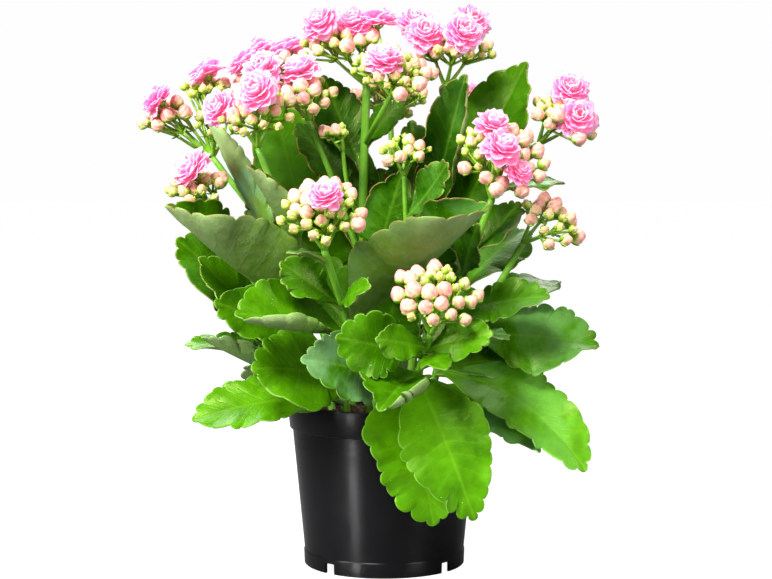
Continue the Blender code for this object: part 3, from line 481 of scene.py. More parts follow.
class Growth:
    """Collects closed shells of rings, with the values of named point attributes."""

    def __init__(self, *names):
        self.points = []
        self.faces = []
        self.values = {name: [] for name in names}

    def add(self, rings, **values):
        """Skin rings of points and close both ends; a value is a number, or a list for rings or points."""
        first = len(self.points)
        starts = []
        for number, ring in enumerate(rings):
            starts.append(first)
            first += len(ring)
            self.points.extend(ring)
            for name, store in self.values.items():
                value = values[name]
                value = value[number] if isinstance(value, list) else value
                store.extend(value if isinstance(value, list) else [value] * len(ring))
        for number in range(len(rings) - 1):
            self.bridge(starts[number], len(rings[number]), starts[number + 1], len(rings[number + 1]))
        for number in (0, len(rings) - 1):
            if len(rings[number]) > 1:
                self.faces.append(tuple(range(starts[number], starts[number] + len(rings[number]))))

    def bridge(self, low, low_count, high, high_count):
        """Join two rings, one of which may be a single point."""
        count = max(low_count, high_count)
        for index in range(count):
            following = (index + 1) % count
            corners = (low + index % low_count, low + following % low_count,
                       high + following % high_count, high + index % high_count)
            self.faces.append(tuple(dict.fromkeys(corners)))

    def piece(self, name, finish):
        """Make the collected shells one object of the plant."""
        return make_piece(name, self.points, self.faces, self.values, finish)


def add_object(name, data):
    """Add an object with the given data to the scene."""
    made = bpy.data.objects.new(name, data)
    bpy.context.collection.objects.link(made)
    return made


def make_piece(name, points, faces, values, finish):
    """Make a smooth-shaded object that rides with the pot, with its point attributes and material."""
    mesh = bpy.data.meshes.new(name)
    mesh.from_pydata([tuple(point) for point in points], [], faces)
    for label, numbers in values.items():
        mesh.attributes.new(label, "FLOAT", "POINT").data.foreach_set("value", numbers)
    builder = bmesh.new()
    builder.from_mesh(mesh)
    bmesh.ops.remove_doubles(builder, verts=builder.verts, dist=1e-7)
    bmesh.ops.recalc_face_normals(builder, faces=builder.faces)
    builder.to_mesh(mesh)
    builder.free()
    mesh.shade_smooth()
    mesh.materials.append(finish)
    made = add_object(name, mesh)
    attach(made, ROOT)
    return made


def swing(side, up, turn):
    """The direction that lies at an angle from side towards up."""
    return side * math.cos(turn) + up * math.sin(turn)


def arch(start, middle, end, t):
    """The place at share t of the way along an arch that leans towards its middle point."""
    return start * (1 - t) ** 2 + middle * (2 * t * (1 - t)) + end * t ** 2


def circle(centre, side, up, radius, count):
    """Points of a regular ring about a centre."""
    turns = [2.0 * math.pi * index / count for index in range(count)]
    return [centre + side * (radius * math.cos(turn)) + up * (radius * math.sin(turn)) for turn in turns]


def route(points, steps):
    """Sample a smooth curve through the given points."""
    ends = [points[0] * 2 - points[1]] + points + [points[-1] * 2 - points[-2]]
    spans = len(points) - 1
    sampled = []
    for step in range(steps + 1):
        place = spans * step / steps
        span = min(int(place), spans - 1)
        t = place - span
        before, start, end, after = ends[span:span + 4]
        sampled.append((start * 2 + (end - before) * t + (before * 2 - start * 5 + end * 4 - after) * t ** 2
                        + (start * 3 - before - end * 3 + after) * t ** 3) / 2)
    return sampled


def tube_rings(axis, radii, sides):
    """Rings of a tube about an axis, without twist."""
    last = len(axis) - 1
    side = (axis[1] - axis[0]).orthogonal().normalized()
    rings = []
    for index, (point, radius) in enumerate(zip(axis, radii)):
        ahead = (axis[min(index + 1, last)] - axis[max(index - 1, 0)]).normalized()
        side = (side - ahead * side.dot(ahead)).normalized()
        rings.append(circle(point, side, ahead.cross(side), radius, sides))
    return rings


def read_stems():
    """Work out each stem's axis from the table."""
    stems = {}
    for name, shoot, points, foot, top in STEMS:
        axis = route([Vector(point) * MM for point in points], STEM_STEPS)
        stems[name] = {"shoot": shoot, "axis": axis, "foot_radius": foot * MM, "top_radius": top * MM}
    return stems


def stem_at(stem, height):
    """The axis point of a stem at a height."""
    axis = stem["axis"]
    for low, high in zip(axis, axis[1:]):
        if low.z <= height <= high.z:
            return low.lerp(high, (height - low.z) / (high.z - low.z))
    return axis[-1]


def blade(leaf, stems):
    """A leaf's midrib points, from inside its stem, and its side direction."""
    foot = stem_at(stems[leaf.stem], leaf.height * MM)
    tip = Vector(leaf.tip) * MM
    chord = (tip - foot).normalized()
    face = Vector(leaf.face)
    face = (face - chord * face.dot(chord)).normalized()
    return foot, (foot + tip) / 2 + face * (leaf.bow * MM), tip, chord.cross(face)


def half_width(leaf, along):
    """Flat half width of a leaf, without teeth, at shares of its length."""
    width, widest = leaf.width * MM, leaf.widest
    power = math.log(0.5) / math.log(widest)
    sharpness = np.where(along < widest, BASE_SHARPNESS, TIP_SHARPNESS)
    broad = width / 2 * np.maximum(np.sin(math.pi * along ** power), 0.0) ** sharpness
    stalk = min(PETIOLE_WIDTH, width * PETIOLE_SHARE) / 2
    return np.where(along < widest, np.maximum(broad, stalk), broad)


def tooth_places(teeth, chance):
    """Shares of the margin at which each tooth starts, which vary in size, and each tooth's depth."""
    sizes = np.array([chance.uniform(*TOOTH_SIZES) for _ in range(teeth)] + [0.5])
    starts = np.concatenate(([0.0], np.cumsum(sizes))) / sizes.sum()
    depths = [chance.choice(TOOTH_DEPTHS) * chance.uniform(*TOOTH_RANGE) for _ in range(teeth)]
    depths = np.array(depths + [0.8, 0.8])
    return starts, depths


def margin(leaf, length, teeth, chance):
    """Across and along, in metres, of one half's margin with its rounded teeth."""
    steps = np.sin(np.linspace(0.0, math.pi / 2, OUTLINE_STEPS))
    start = chance.uniform(0.0, 2.0 * math.pi)
    short_waves = 0.6 * np.sin(SHORT_WAVES * steps + 2.0 * start)
    uneven = 1.0 + UNEVENNESS * (np.sin(LONG_WAVES * steps + start) + short_waves)
    wide = half_width(leaf, steps) * uneven
    high = steps * length
    arc = np.concatenate(([0.0], np.cumsum(np.hypot(np.diff(wide), np.diff(high)))))
    phase = np.arange(int((teeth + 0.5) * TOOTH_STEPS) + 1) / TOOTH_STEPS
    number = phase.astype(int)
    starts, depths = tooth_places(teeth, chance)
    share = np.interp(phase, np.append(np.arange(teeth + 1), teeth + 0.5), starts)
    across = np.interp(share * arc[-1], arc, wide)
    along = np.interp(share * arc[-1], arc, high)
    out = np.gradient(along)
    ahead = -np.gradient(across)
    norm = np.maximum(np.hypot(out, ahead), 1e-9)
    out[-1], ahead[-1], norm[-1] = 0.0, 1.0, 1.0
    bulge = np.abs(np.sin(math.pi * (phase - number))) ** TOOTH_ROUNDNESS - 0.5
    depth = min(TOOTH_DEPTH, leaf.width * MM * TOOTH_SHARE)
    reach = depth * depths[number] * bulge * smooth(SMOOTH_SHARE, SMOOTH_SHARE + SMOOTH_BLEND, share)
    return across + out / norm * reach, along + ahead / norm * reach, phase


def blade_half(leaf, shape, length, teeth, direction, chance):
    """Points of the upper and lower surface of one half, from margin to midrib, and their places."""
    across_edge, along_edge, phase = margin(leaf, length, teeth, chance)
    rows = len(phase)
    midrib = np.linspace(0.0, MIDRIB_SHARE * length, rows)
    spoke = np.hypot(across_edge, along_edge - midrib)
    inset = np.minimum(np.array(MARGIN_INSETS) * MM, np.outer(spoke, MARGIN_SHARES))
    edge_share = 1.0 - inset / spoke[:, None]
    inner = edge_share[:, -1:] * np.array(INNER_SHARES)
    share = np.concatenate((edge_share, inner), axis=1)
    inset = (1.0 - share) * spoke[:, None]
    across = share * across_edge[:, None]
    along = (midrib[:, None] + share * (along_edge - midrib)[:, None]) / length

    half = 1 if direction > 0 else 0
    fold = (leaf.left_bend, leaf.right_bend)[half] + CUPPING * chance.uniform(*CUPPING_RANGE)
    fold = math.radians(fold)
    roll = math.radians(ROLLS.get(leaf.name, (0, 0))[half])
    reference = np.maximum(half_width(leaf, np.clip(along, 0.0, 1.0)), leaf.width * MM * 0.2)
    slope = fold * (ROOT_FOLD + EDGE_FOLD * across / reference)
    rolled = smooth(ROLL_START, 1.0, share) * smooth(0.3, 0.55, along) * smooth(1.15, 0.85, along)
    slope = slope + roll * rolled
    tip_fold = math.radians(TIP_FOLDS.get(leaf.name, (0, 0))[half])
    slope = slope + tip_fold * smooth(TIP_FOLD_START, 0.9, along)
    curl = math.radians(CURL) * np.sin(2.0 * math.pi * (CURL_COUNT * along + chance.random()))
    slope = slope + curl * smooth(0.45, 1.0, share) * smooth(0.2, 0.5, along)
    step = -np.diff(across[:, ::-1], axis=1, prepend=0.0)[:, ::-1]
    step[:, -1] = 0.0
    turned = (slope + np.concatenate((slope[:, 1:], slope[:, -1:]), axis=1)) / 2
    out = np.cumsum((-step * np.cos(turned))[:, ::-1], axis=1)[:, ::-1]
    rise = np.cumsum((-step * np.sin(turned))[:, ::-1], axis=1)[:, ::-1]

    calm = smooth(0.0, CALM_WIDTH, across_edge)[:, None] * smooth(0.15, 0.45, along)
    start = chance.uniform(0.0, 2.0 * math.pi)
    lift = RIPPLE * np.sin(math.pi * phase + start)[:, None] * share ** 3
    lift = (lift + WAVE * np.sin(WAVE_COUNT * math.pi * along + start * 2) * share ** 2) * calm
    body = np.sqrt(1.0 - (1.0 - np.minimum(inset / MARGIN_ROUNDING, 1.0)) ** 2)
    thick = body * (MARGIN_HALF + (MIDDLE_HALF - MARGIN_HALF) * (1.0 - share))
    slender = smooth(PETIOLE_REACH, 0.0, along) * (1.0 - share ** 2)
    middle = np.exp(-(across / RIB_WIDTH) ** 2) * (1.0 - RIB_THINNING * np.clip(along, 0.0, 1.0))
    top = lift + thick + PETIOLE_TOP * slender - GROOVE_DEPTH * middle * (1.0 - slender)
    bottom = lift - thick - PETIOLE_BOTTOM * slender - RIB_HEIGHT * middle

    points = [bend(leaf, shape, along, direction, out, rise, slope, lifted) for lifted in (top, bottom)]
    lobes = np.repeat(phase[:, None], share.shape[1], axis=1)
    return points, {"inset": inset, "along": along, "across": across * direction, "lobe": lobes}


def bend(leaf, shape, along, direction, out, rise, slope, lift):
    """Place points of the flat half on the bent and twisted blade, lifted off its surface."""
    foot, middle, tip, side = (np.array(vector) for vector in shape)
    t = along[:, :, None]
    spine = arch(foot, middle, tip, t)
    ahead = (middle - foot) * (1 - t) + (tip - middle) * t
    ahead /= np.linalg.norm(ahead, axis=2, keepdims=True)
    up = np.cross(side, ahead)
    up /= np.linalg.norm(up, axis=2, keepdims=True)
    turn = math.radians(leaf.twist) * (t - 0.5)
    across = side * np.cos(turn) + up * np.sin(turn)
    up = up * np.cos(turn) - side * np.sin(turn)
    outward = across * direction
    slope = slope[:, :, None]
    normal = up * np.cos(slope) - outward * np.sin(slope)
    return spine + outward * out[:, :, None] + up * rise[:, :, None] + normal * lift[:, :, None]


def build_leaf(leaf, stems, finish):
    """Build one leaf as a closed, toothed blade that grows out of its stem."""
    chance = random.Random(leaf.name)
    shape = blade(leaf, stems)
    length = (shape[1] - shape[0]).length / 2 + (shape[2] - shape[1]).length / 2
    length = (length * 2 + (shape[2] - shape[0]).length) / 2
    teeth = round(length * MARGIN_LENGTH / (TOOTH_LENGTH + TOOTH_GROWTH * length))
    teeth = max(FEWEST_TEETH, teeth)
    left, left_values = blade_half(leaf, shape, length, teeth, -1.0, chance)
    right, right_values = blade_half(leaf, shape, length, teeth, 1.0, chance)
    top = np.concatenate((left[0], right[0][:, -2::-1]), axis=1)
    bottom = np.concatenate((right[1][:, 1:], left[1][:, -2:0:-1]), axis=1)
    points = np.concatenate((top, bottom), axis=1)
    rows, around = points.shape[:2]
    values = {}
    for name in left_values:
        across = (left_values[name], right_values[name][:, -2::-1],
                  right_values[name][:, 1:], left_values[name][:, -2:0:-1])
        values[name] = np.concatenate(across, axis=1).ravel()
    upper = np.ones((rows, around))
    upper[:, top.shape[1]:] = 0.0
    upper[:, [0, top.shape[1] - 1]] = 0.5
    values["upper"] = upper.ravel()
    count = rows * around
    height = shape[2].z / FRAME_BOX[1].z
    values["age"] = np.full(count, clamp(height * AGE_RISE - AGE_START))
    values["bloom"] = np.full(count, BLOOMS_AND_SHEENS.get(leaf.name, chance.choice(OTHER_BLOOMS)))
    # The listed tones carry painted light as well as each leaf's own tone.
    values["shade"] = np.full(count, TONES_AND_PAINTED_LIGHT.get(leaf.name, chance.uniform(*OTHER_TONES)))

    index = np.arange(count).reshape(rows, around)
    index[-1] = index[-1][last_row_partners(top.shape[1], around)]
    following = np.roll(index, -1, axis=1)
    faces = np.stack((index[:-1], following[:-1], following[1:], index[1:]), axis=2)
    faces = [tuple(dict.fromkeys(face)) for face in faces.reshape(-1, 4).tolist()]
    faces.append(tuple(index[0].tolist()))
    faces = [face for face in faces if len(face) > 2]
    return make_piece(leaf.name + "_blade", points.reshape(-1, 3), faces, values, finish)


def last_row_partners(top_count, around):
    """In the last row the two halves are one line, so the right half takes the left half's points."""
    partners = []
    for place in range(around):
        if place < top_count:
            partners.append(min(place, top_count - 1 - place))
        else:
            partners.append(max(place, top_count - 1 + around - place))
    return partners


def head_basis(facing):
    """The axis of a flower head and two directions across it."""
    axis = Vector(facing).normalized()
    across = axis.orthogonal().normalized()
    return axis, across, axis.cross(across)


def push_apart(spots, flowers):
    """Move buds that sit in each other, or in an open flower, until they just touch."""
    for _ in range(PUSHES):
        for index, (place, radius) in enumerate(spots):
            for other, (neighbour, other_radius) in enumerate(spots):
                if other != index:
                    apart = place - neighbour
                    short = radius + other_radius - apart.length
                    if short > 0:
                        place = place + apart.normalized() * short / 2
            for flower in flowers:
                apart = place - flower
                short = radius + FLOWER_RADIUS * FLOWER_ROOM - apart.length
                if short > 0:
                    place = place + apart.normalized() * short
            spots[index] = (place, radius)


def head_spots(number, head, centre, flowers):
    """Places and radii of a head's buds on its dome, the large ones first."""
    chance = random.Random(number)
    axis, across, along = head_basis(head.facing)
    radius = head.radius * MM
    scale = BUD_SIZES.get(head.stem, 1.0)
    spots = []
    count = round(head.buds * BUD_CROWDING) if flowers else head.buds
    for index in range(count):
        reach = radius * math.sqrt((index + 0.5) / count)
        turn = index * GOLDEN_ANGLE + number
        lift = DOME * radius * (1.0 - (reach / radius) ** 2) + chance.uniform(*BUD_OFFSETS) * MM
        place = centre + across * (reach * math.cos(turn)) + along * (reach * math.sin(turn)) + axis * lift
        large = index % 5 in (0, 2)
        size = BUD_RADIUS * chance.uniform(*(LARGE_BUDS if large else SMALL_BUDS))
        spots.append((place, size * scale))
    push_apart(spots, flowers)
    return sorted(spots, key=lambda spot: -spot[1])


def add_stalk(stems, start, end, outward, foot, top, age):
    """Add a stalk that leaves its fork straight and turns to meet what it carries."""
    reach = (end - start).length
    bent = start.lerp(end, 0.55) - outward * (reach * 0.12) + (end - start).normalized() * (reach * 0.1)
    shares = [index / STALK_STEPS for index in range(STALK_STEPS + 1)]
    axis = [arch(start, bent, end, share) for share in shares]
    radii = [foot + (top - foot) * index / STALK_STEPS for index in range(STALK_STEPS + 1)]
    radii[-1] = top * STALK_FLARE
    stems.add(tube_rings(axis, radii, STALK_SIDES), young=age)
    return (end - bent).normalized()


def add_blade(growth, foot, outward, side, length, width, curl, cup, thickness, chance, **values):
    """Add one thin closed blade, such as a petal or sepal, that curls up and is cupped across."""
    up = side.cross(outward).normalized()
    rings = []
    shares = []
    point = foot
    angle = 0.0
    for row in range(BLADE_ROWS + 1):
        share = row / BLADE_ROWS
        half = width / 2 * max(math.sin(math.pi * (0.12 + 0.88 * share) ** 1.5), 0.0) ** 0.6
        ahead = swing(outward, up, angle)
        lift = up * math.cos(angle) - outward * math.sin(angle)
        upper = []
        lower = []
        ruffle = chance.uniform(-0.06, 0.06) * width * share
        for column in range(BLADE_COLUMNS + 1):
            across = column / BLADE_COLUMNS * 2.0 - 1.0
            rise = cup * half * across ** 2 + ruffle * math.cos(3.0 * across)
            deep = thickness / 2 * (1.0 - 0.7 * across ** 2)
            middle = point + side * (half * across) + lift * rise
            upper.append(middle + lift * deep)
            lower.append(middle - lift * deep)
        rings.append(upper + lower[::-1])
        shares.append(share)
        point = point + ahead * (length / BLADE_ROWS)
        angle += curl / BLADE_ROWS
    tip = point - ahead * (length / BLADE_ROWS * 0.75)
    rings[-1] = [tip]
    growth.add(rings, reach=shares, **values)


def bud_shape(height):
    """Radius share of a bud at a share of its height: plump below the middle, with a blunt tip."""
    return max(math.sin(math.pi * clamp(height) ** 0.84), 0.0) ** 0.66


def add_bud(buds, stems, place, outward, radius, chance):
    """Add a plump bud of petals that wrap over each other, in its calyx of pointed sepals."""
    young = clamp((0.92 - radius / BUD_RADIUS) / 0.4)
    tall = BUD_HEIGHT + YOUNG_HEIGHT * young
    side = outward.orthogonal().normalized()
    spin = chance.uniform(0.0, math.pi)
    side = swing(side, outward.cross(side), spin)
    up = outward.cross(side)
    foot = place - outward * (radius * tall * 0.95)
    wrap = chance.uniform(0.8, 1.6) * chance.choice((-1.0, 1.0))
    petals = chance.choice((4, 5))
    rings = [[foot]]
    heights = [0.0]
    folds = [0.0]
    for ring in range(1, BUD_RINGS):
        height = ring / BUD_RINGS
        swell = radius * bud_shape(height)
        ring_points = []
        ring_folds = []
        for corner in range(BUD_SIDES):
            turn = 2.0 * math.pi * corner / BUD_SIDES
            fold = (petals * (turn / (2.0 * math.pi) + wrap * height ** 2 * 0.3)) % 1.0
            reach = swell * (1.0 - BUD_FOLD * fold ** 2 * smooth(0.15, 0.6, height))
            ring_points.append(foot + outward * (2.0 * radius * tall * height)
                               + side * (reach * math.cos(turn)) + up * (reach * math.sin(turn)))
            ring_folds.append(fold)
        rings.append(ring_points)
        heights.append(height)
        folds.append(ring_folds)
    rings.append([foot + outward * (2.0 * radius * tall * BUD_TOP)])
    heights.append(1.0)
    folds.append(1.0)
    buds.add(rings, height=heights, fold=folds, young=young, blush=chance.random())
    for turn in QUARTERS:
        cover = SEPAL_COVER + 0.3 * young + chance.uniform(-0.05, 0.05)
        add_sepal(stems, foot, (outward, side, up), turn, radius, tall, cover, young)


def add_sepal(stems, foot, basis, turn, radius, tall, cover, young):
    """Add one fleshy pointed sepal that hugs the side of a bud."""
    outward, side, up = basis
    rings = []
    for step in range(SEPAL_ROWS + 1):
        share = step / SEPAL_ROWS
        height = SEPAL_FOOT + (cover - SEPAL_FOOT) * share
        reach = radius * bud_shape(height)
        spread = SEPAL_SPREAD * (1.0 - share) ** 0.75 + 0.03
        outer = []
        inner = []
        for column in (-1.0, -0.5, 0.0, 0.5, 1.0):
            angle = turn + spread * column
            ahead = swing(side, up, angle)
            level = foot + outward * (2.0 * radius * tall * height)
            thick = SEPAL_THICKNESS * (1.15 - 0.75 * abs(column)) + 0.25 * MM * share
            outer.append(level + ahead * (reach + thick))
            inner.append(level + ahead * (reach * 0.93))
        rings.append(outer + inner[::-1])
    stems.add(rings, young=0.45 + 0.5 * young)


def add_flower(petals, stems, place, outward, size, chance):
    """Add an open double flower: whorls of ruffled petals that rise towards the middle."""
    side = outward.orthogonal().normalized()
    up = outward.cross(side)
    foot = place - outward * (FLOWER_HEIGHT * 0.3)
    open_share = chance.uniform(*OPENNESS)
    scale = chance.uniform(*FLOWER_SCALE) * size
    for layer, (count, length, width, rise) in enumerate(WHORLS):
        start = chance.uniform(0.0, math.pi)
        for index in range(count):
            turn = start + 2.0 * math.pi * (index + chance.uniform(-TURN_JITTER, TURN_JITTER)) / count
            lean = swing(side, up, turn)
            lift = rise * open_share + (1.0 - open_share) * 60 + chance.uniform(-RISE_JITTER, RISE_JITTER)
            lift = math.radians(lift)
            ahead = swing(lean, outward, lift)
            across = lean.cross(outward).normalized()
            tilt = chance.uniform(-PETAL_TILT, PETAL_TILT)
            across = swing(across, ahead.cross(across), tilt).normalized()
            grown = scale * chance.uniform(*PETAL_SIZES)
            base = foot + outward * (layer * WHORL_STEP) + lean * WHORL_RADIUS
            curl = math.radians(chance.uniform(*PETAL_CURLS) + layer * 8.0)
            add_blade(petals, base, ahead, across, length * grown * MM, width * grown * MM, curl,
                      chance.uniform(*PETAL_CUPS), PETAL_THICKNESS, chance,
                      layer=layer / (len(WHORLS) - 1), tint=chance.random())
    for turn in QUARTERS:
        add_sepal(stems, foot - outward * CALYX_DROP, (outward, side, up), turn, CALYX_RADIUS, 1.0, 0.75, 0.1)


def add_bracts(stems, place, axis, across, size, chance):
    """Add the pair of tiny leaves at a fork."""
    for direction in (1.0, -1.0):
        side = axis.cross(across).normalized() * direction
        ahead = (across * direction + axis * chance.uniform(0.2, 0.7)).normalized()
        add_blade(stems, place, ahead, side, size * chance.uniform(0.8, 1.3), size * 0.45,
                  math.radians(chance.uniform(-30, 20)), 0.25, 0.5 * MM, chance, young=0.35)


def add_head(stems, buds, petals, fork, number, head):
    """Add a head's branches, stalks, buds and open flowers above the stem's fork."""
    centre = Vector(head.centre) * MM
    flowers = [Vector(flower) * MM for flower in head.flowers]
    axis, across, along = head_basis(head.facing)
    chance = random.Random(number + 100)
    spots = head_spots(number, head, centre, flowers)
    ends = [(place, size, False) for place, size in spots]
    flower_turn = Vector(FLOWER_TURNS.get(head.stem, (0.0, 0.0, 0.0)))
    sizes = FLOWER_SIZES.get(head.stem, (1.0,) * len(flowers))
    ends += [(place, size, True) for place, size in zip(flowers, sizes)]
    sectors = {}
    for end in ends:
        offset = end[0] - centre
        turn = math.atan2(offset.dot(along), offset.dot(across))
        sectors.setdefault(int(turn // (math.pi / 2)), []).append(end)
    for sector in sorted(sectors):
        members = sectors[sector]
        middle = sum((end[0] for end in members), Vector()) / len(members)
        split = fork.lerp(middle, BRANCH_REACH)
        ahead = add_stalk(stems, fork, split, axis * 0.4, BRANCH_RADIUS, BRANCH_TOP_RADIUS, 0.2)
        add_bracts(stems, split, ahead, ahead.orthogonal().normalized(), BRACT_LENGTH, chance)
        for place, size, is_flower in members:
            if is_flower:
                outward = (place - PLANT_HEART).normalized()
                outward = (outward + (place - fork).normalized() * 0.5 + axis * 0.3).normalized()
                outward = (outward + flower_turn).normalized()
                add_stalk(stems, split, place - outward * (FLOWER_HEIGHT * 0.45), axis * 0.3,
                          PEDICEL_RADIUS, PEDICEL_RADIUS, 0.3)
                add_flower(petals, stems, place, outward, size, chance)
            else:
                tilt = Vector([chance.uniform(-0.25, 0.25) for _ in range(3)])
                outward = (place - split).normalized() * 0.7 + (place - centre).normalized() * 0.5
                outward = (outward + axis * 0.3 + tilt + Vector((0.0, 0.0, 0.5))).normalized()
                add_stalk(stems, split, place - outward * (size * 0.98), axis * 0.3,
                          PEDICEL_RADIUS, PEDICEL_RADIUS, 0.5)
                add_bud(buds, stems, place, outward, size, chance)


def build_shoot(shoot, stems, finishes):
    """Build one shoot's stems and stalks, its buds and its open flowers, each as one piece."""
    green = Growth("young")
    buds = Growth("height", "fold", "young", "blush")
    petals = Growth("reach", "layer", "tint")
    for name, stem in stems.items():
        if stem["shoot"] != shoot:
            continue
        last = len(stem["axis"]) - 1
        fall = stem["top_radius"] - stem["foot_radius"]
        radii = [stem["foot_radius"] + fall * index / last for index in range(last + 1)]
        green.add(tube_rings(stem["axis"], radii, STEM_SIDES), young=0.0)
        for number, head in enumerate(map(Head._make, HEADS)):
            if head.stem == name:
                add_head(green, buds, petals, stem["axis"][-1], number, head)
    made = green.piece(shoot + "_stems", finishes["stem"])
    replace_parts(made, shoot)
    buds.piece(shoot + "_buds", finishes["bud"])
    if petals.points:
        petals.piece(shoot + "_petals", finishes["petal"])


class Shader:
    """A Principled material that is built up node by node."""

    def __init__(self, name, **settings):
        self.material = bpy.data.materials.new(name)
        self.material.use_nodes = True
        self.tree = self.material.node_tree
        self.surface = self.tree.nodes["Principled BSDF"]
        for label, value in settings.items():
            self.surface.inputs[label.replace("_", " ")].default_value = value
        self.place = self.node("ShaderNodeTexCoord").outputs["Object"]

    def node(self, kind, **settings):
        """Add a node with its settings."""
        made = self.tree.nodes.new(kind)
        for label, value in settings.items():
            setattr(made, label, value)
        return made

    def feed(self, socket, value):
        """Link a socket, or give it a plain value."""
        if isinstance(value, bpy.types.NodeSocket):
            self.tree.links.new(value, socket)
        else:
            socket.default_value = value

    def attribute(self, name):
        """A point attribute of the mesh."""
        return self.node("ShaderNodeAttribute", attribute_name=name).outputs["Fac"]

    def noise(self, size, detail=3.0, roughness=0.55):
        """Soft noise with features of the given size in metres."""
        made = self.node("ShaderNodeTexNoise")
        self.feed(made.inputs["Vector"], self.place)
        made.inputs["Scale"].default_value = 1.0 / size
        made.inputs["Detail"].default_value = detail
        made.inputs["Roughness"].default_value = roughness
        return made.outputs["Fac"]

    def cells(self, size):
        """Distance to the nearest of scattered points, in cells of the given size."""
        made = self.node("ShaderNodeTexVoronoi")
        self.feed(made.inputs["Vector"], self.place)
        made.inputs["Scale"].default_value = 1.0 / size
        return made.outputs["Distance"]

    def math(self, operation, *values):
        """One sum of one, two or three numbers."""
        made = self.node("ShaderNodeMath", operation=operation)
        for socket, value in zip(made.inputs, values):
            self.feed(socket, value)
        return made.outputs[0]

    def plus(self, first, second):
        """Add two numbers."""
        return self.math("ADD", first, second)

    def times(self, first, second):
        """Multiply two numbers."""
        return self.math("MULTIPLY", first, second)

    def spread(self, value, low, high, start=0.0, end=1.0):
        """Map a range of values smoothly to another."""
        made = self.node("ShaderNodeMapRange", interpolation_type="SMOOTHSTEP")
        self.feed(made.inputs["Value"], value)
        made.inputs["From Min"].default_value = low
        made.inputs["From Max"].default_value = high
        made.inputs["To Min"].default_value = start
        made.inputs["To Max"].default_value = end
        return made.outputs[0]

    def mix(self, share, first, second):
        """Blend two colours."""
        made = self.node("ShaderNodeMix", data_type="RGBA")
        self.feed(made.inputs["Factor"], share)
        for socket, colour in ((made.inputs[6], first), (made.inputs[7], second)):
            self.feed(socket, (*colour, 1.0) if isinstance(colour, tuple) else colour)
        return made.outputs[2]

    def finish(self, colour, roughness, relief, depth):
        """Set the colour, roughness and relief, whose heights are in shares of the depth."""
        bump = self.node("ShaderNodeBump")
        bump.inputs["Distance"].default_value = depth
        self.feed(bump.inputs["Height"], relief)
        self.feed(self.surface.inputs["Base Color"], colour)
        self.feed(self.surface.inputs["Roughness"], roughness)
        self.feed(self.surface.inputs["Normal"], bump.outputs["Normal"])
        return self.material


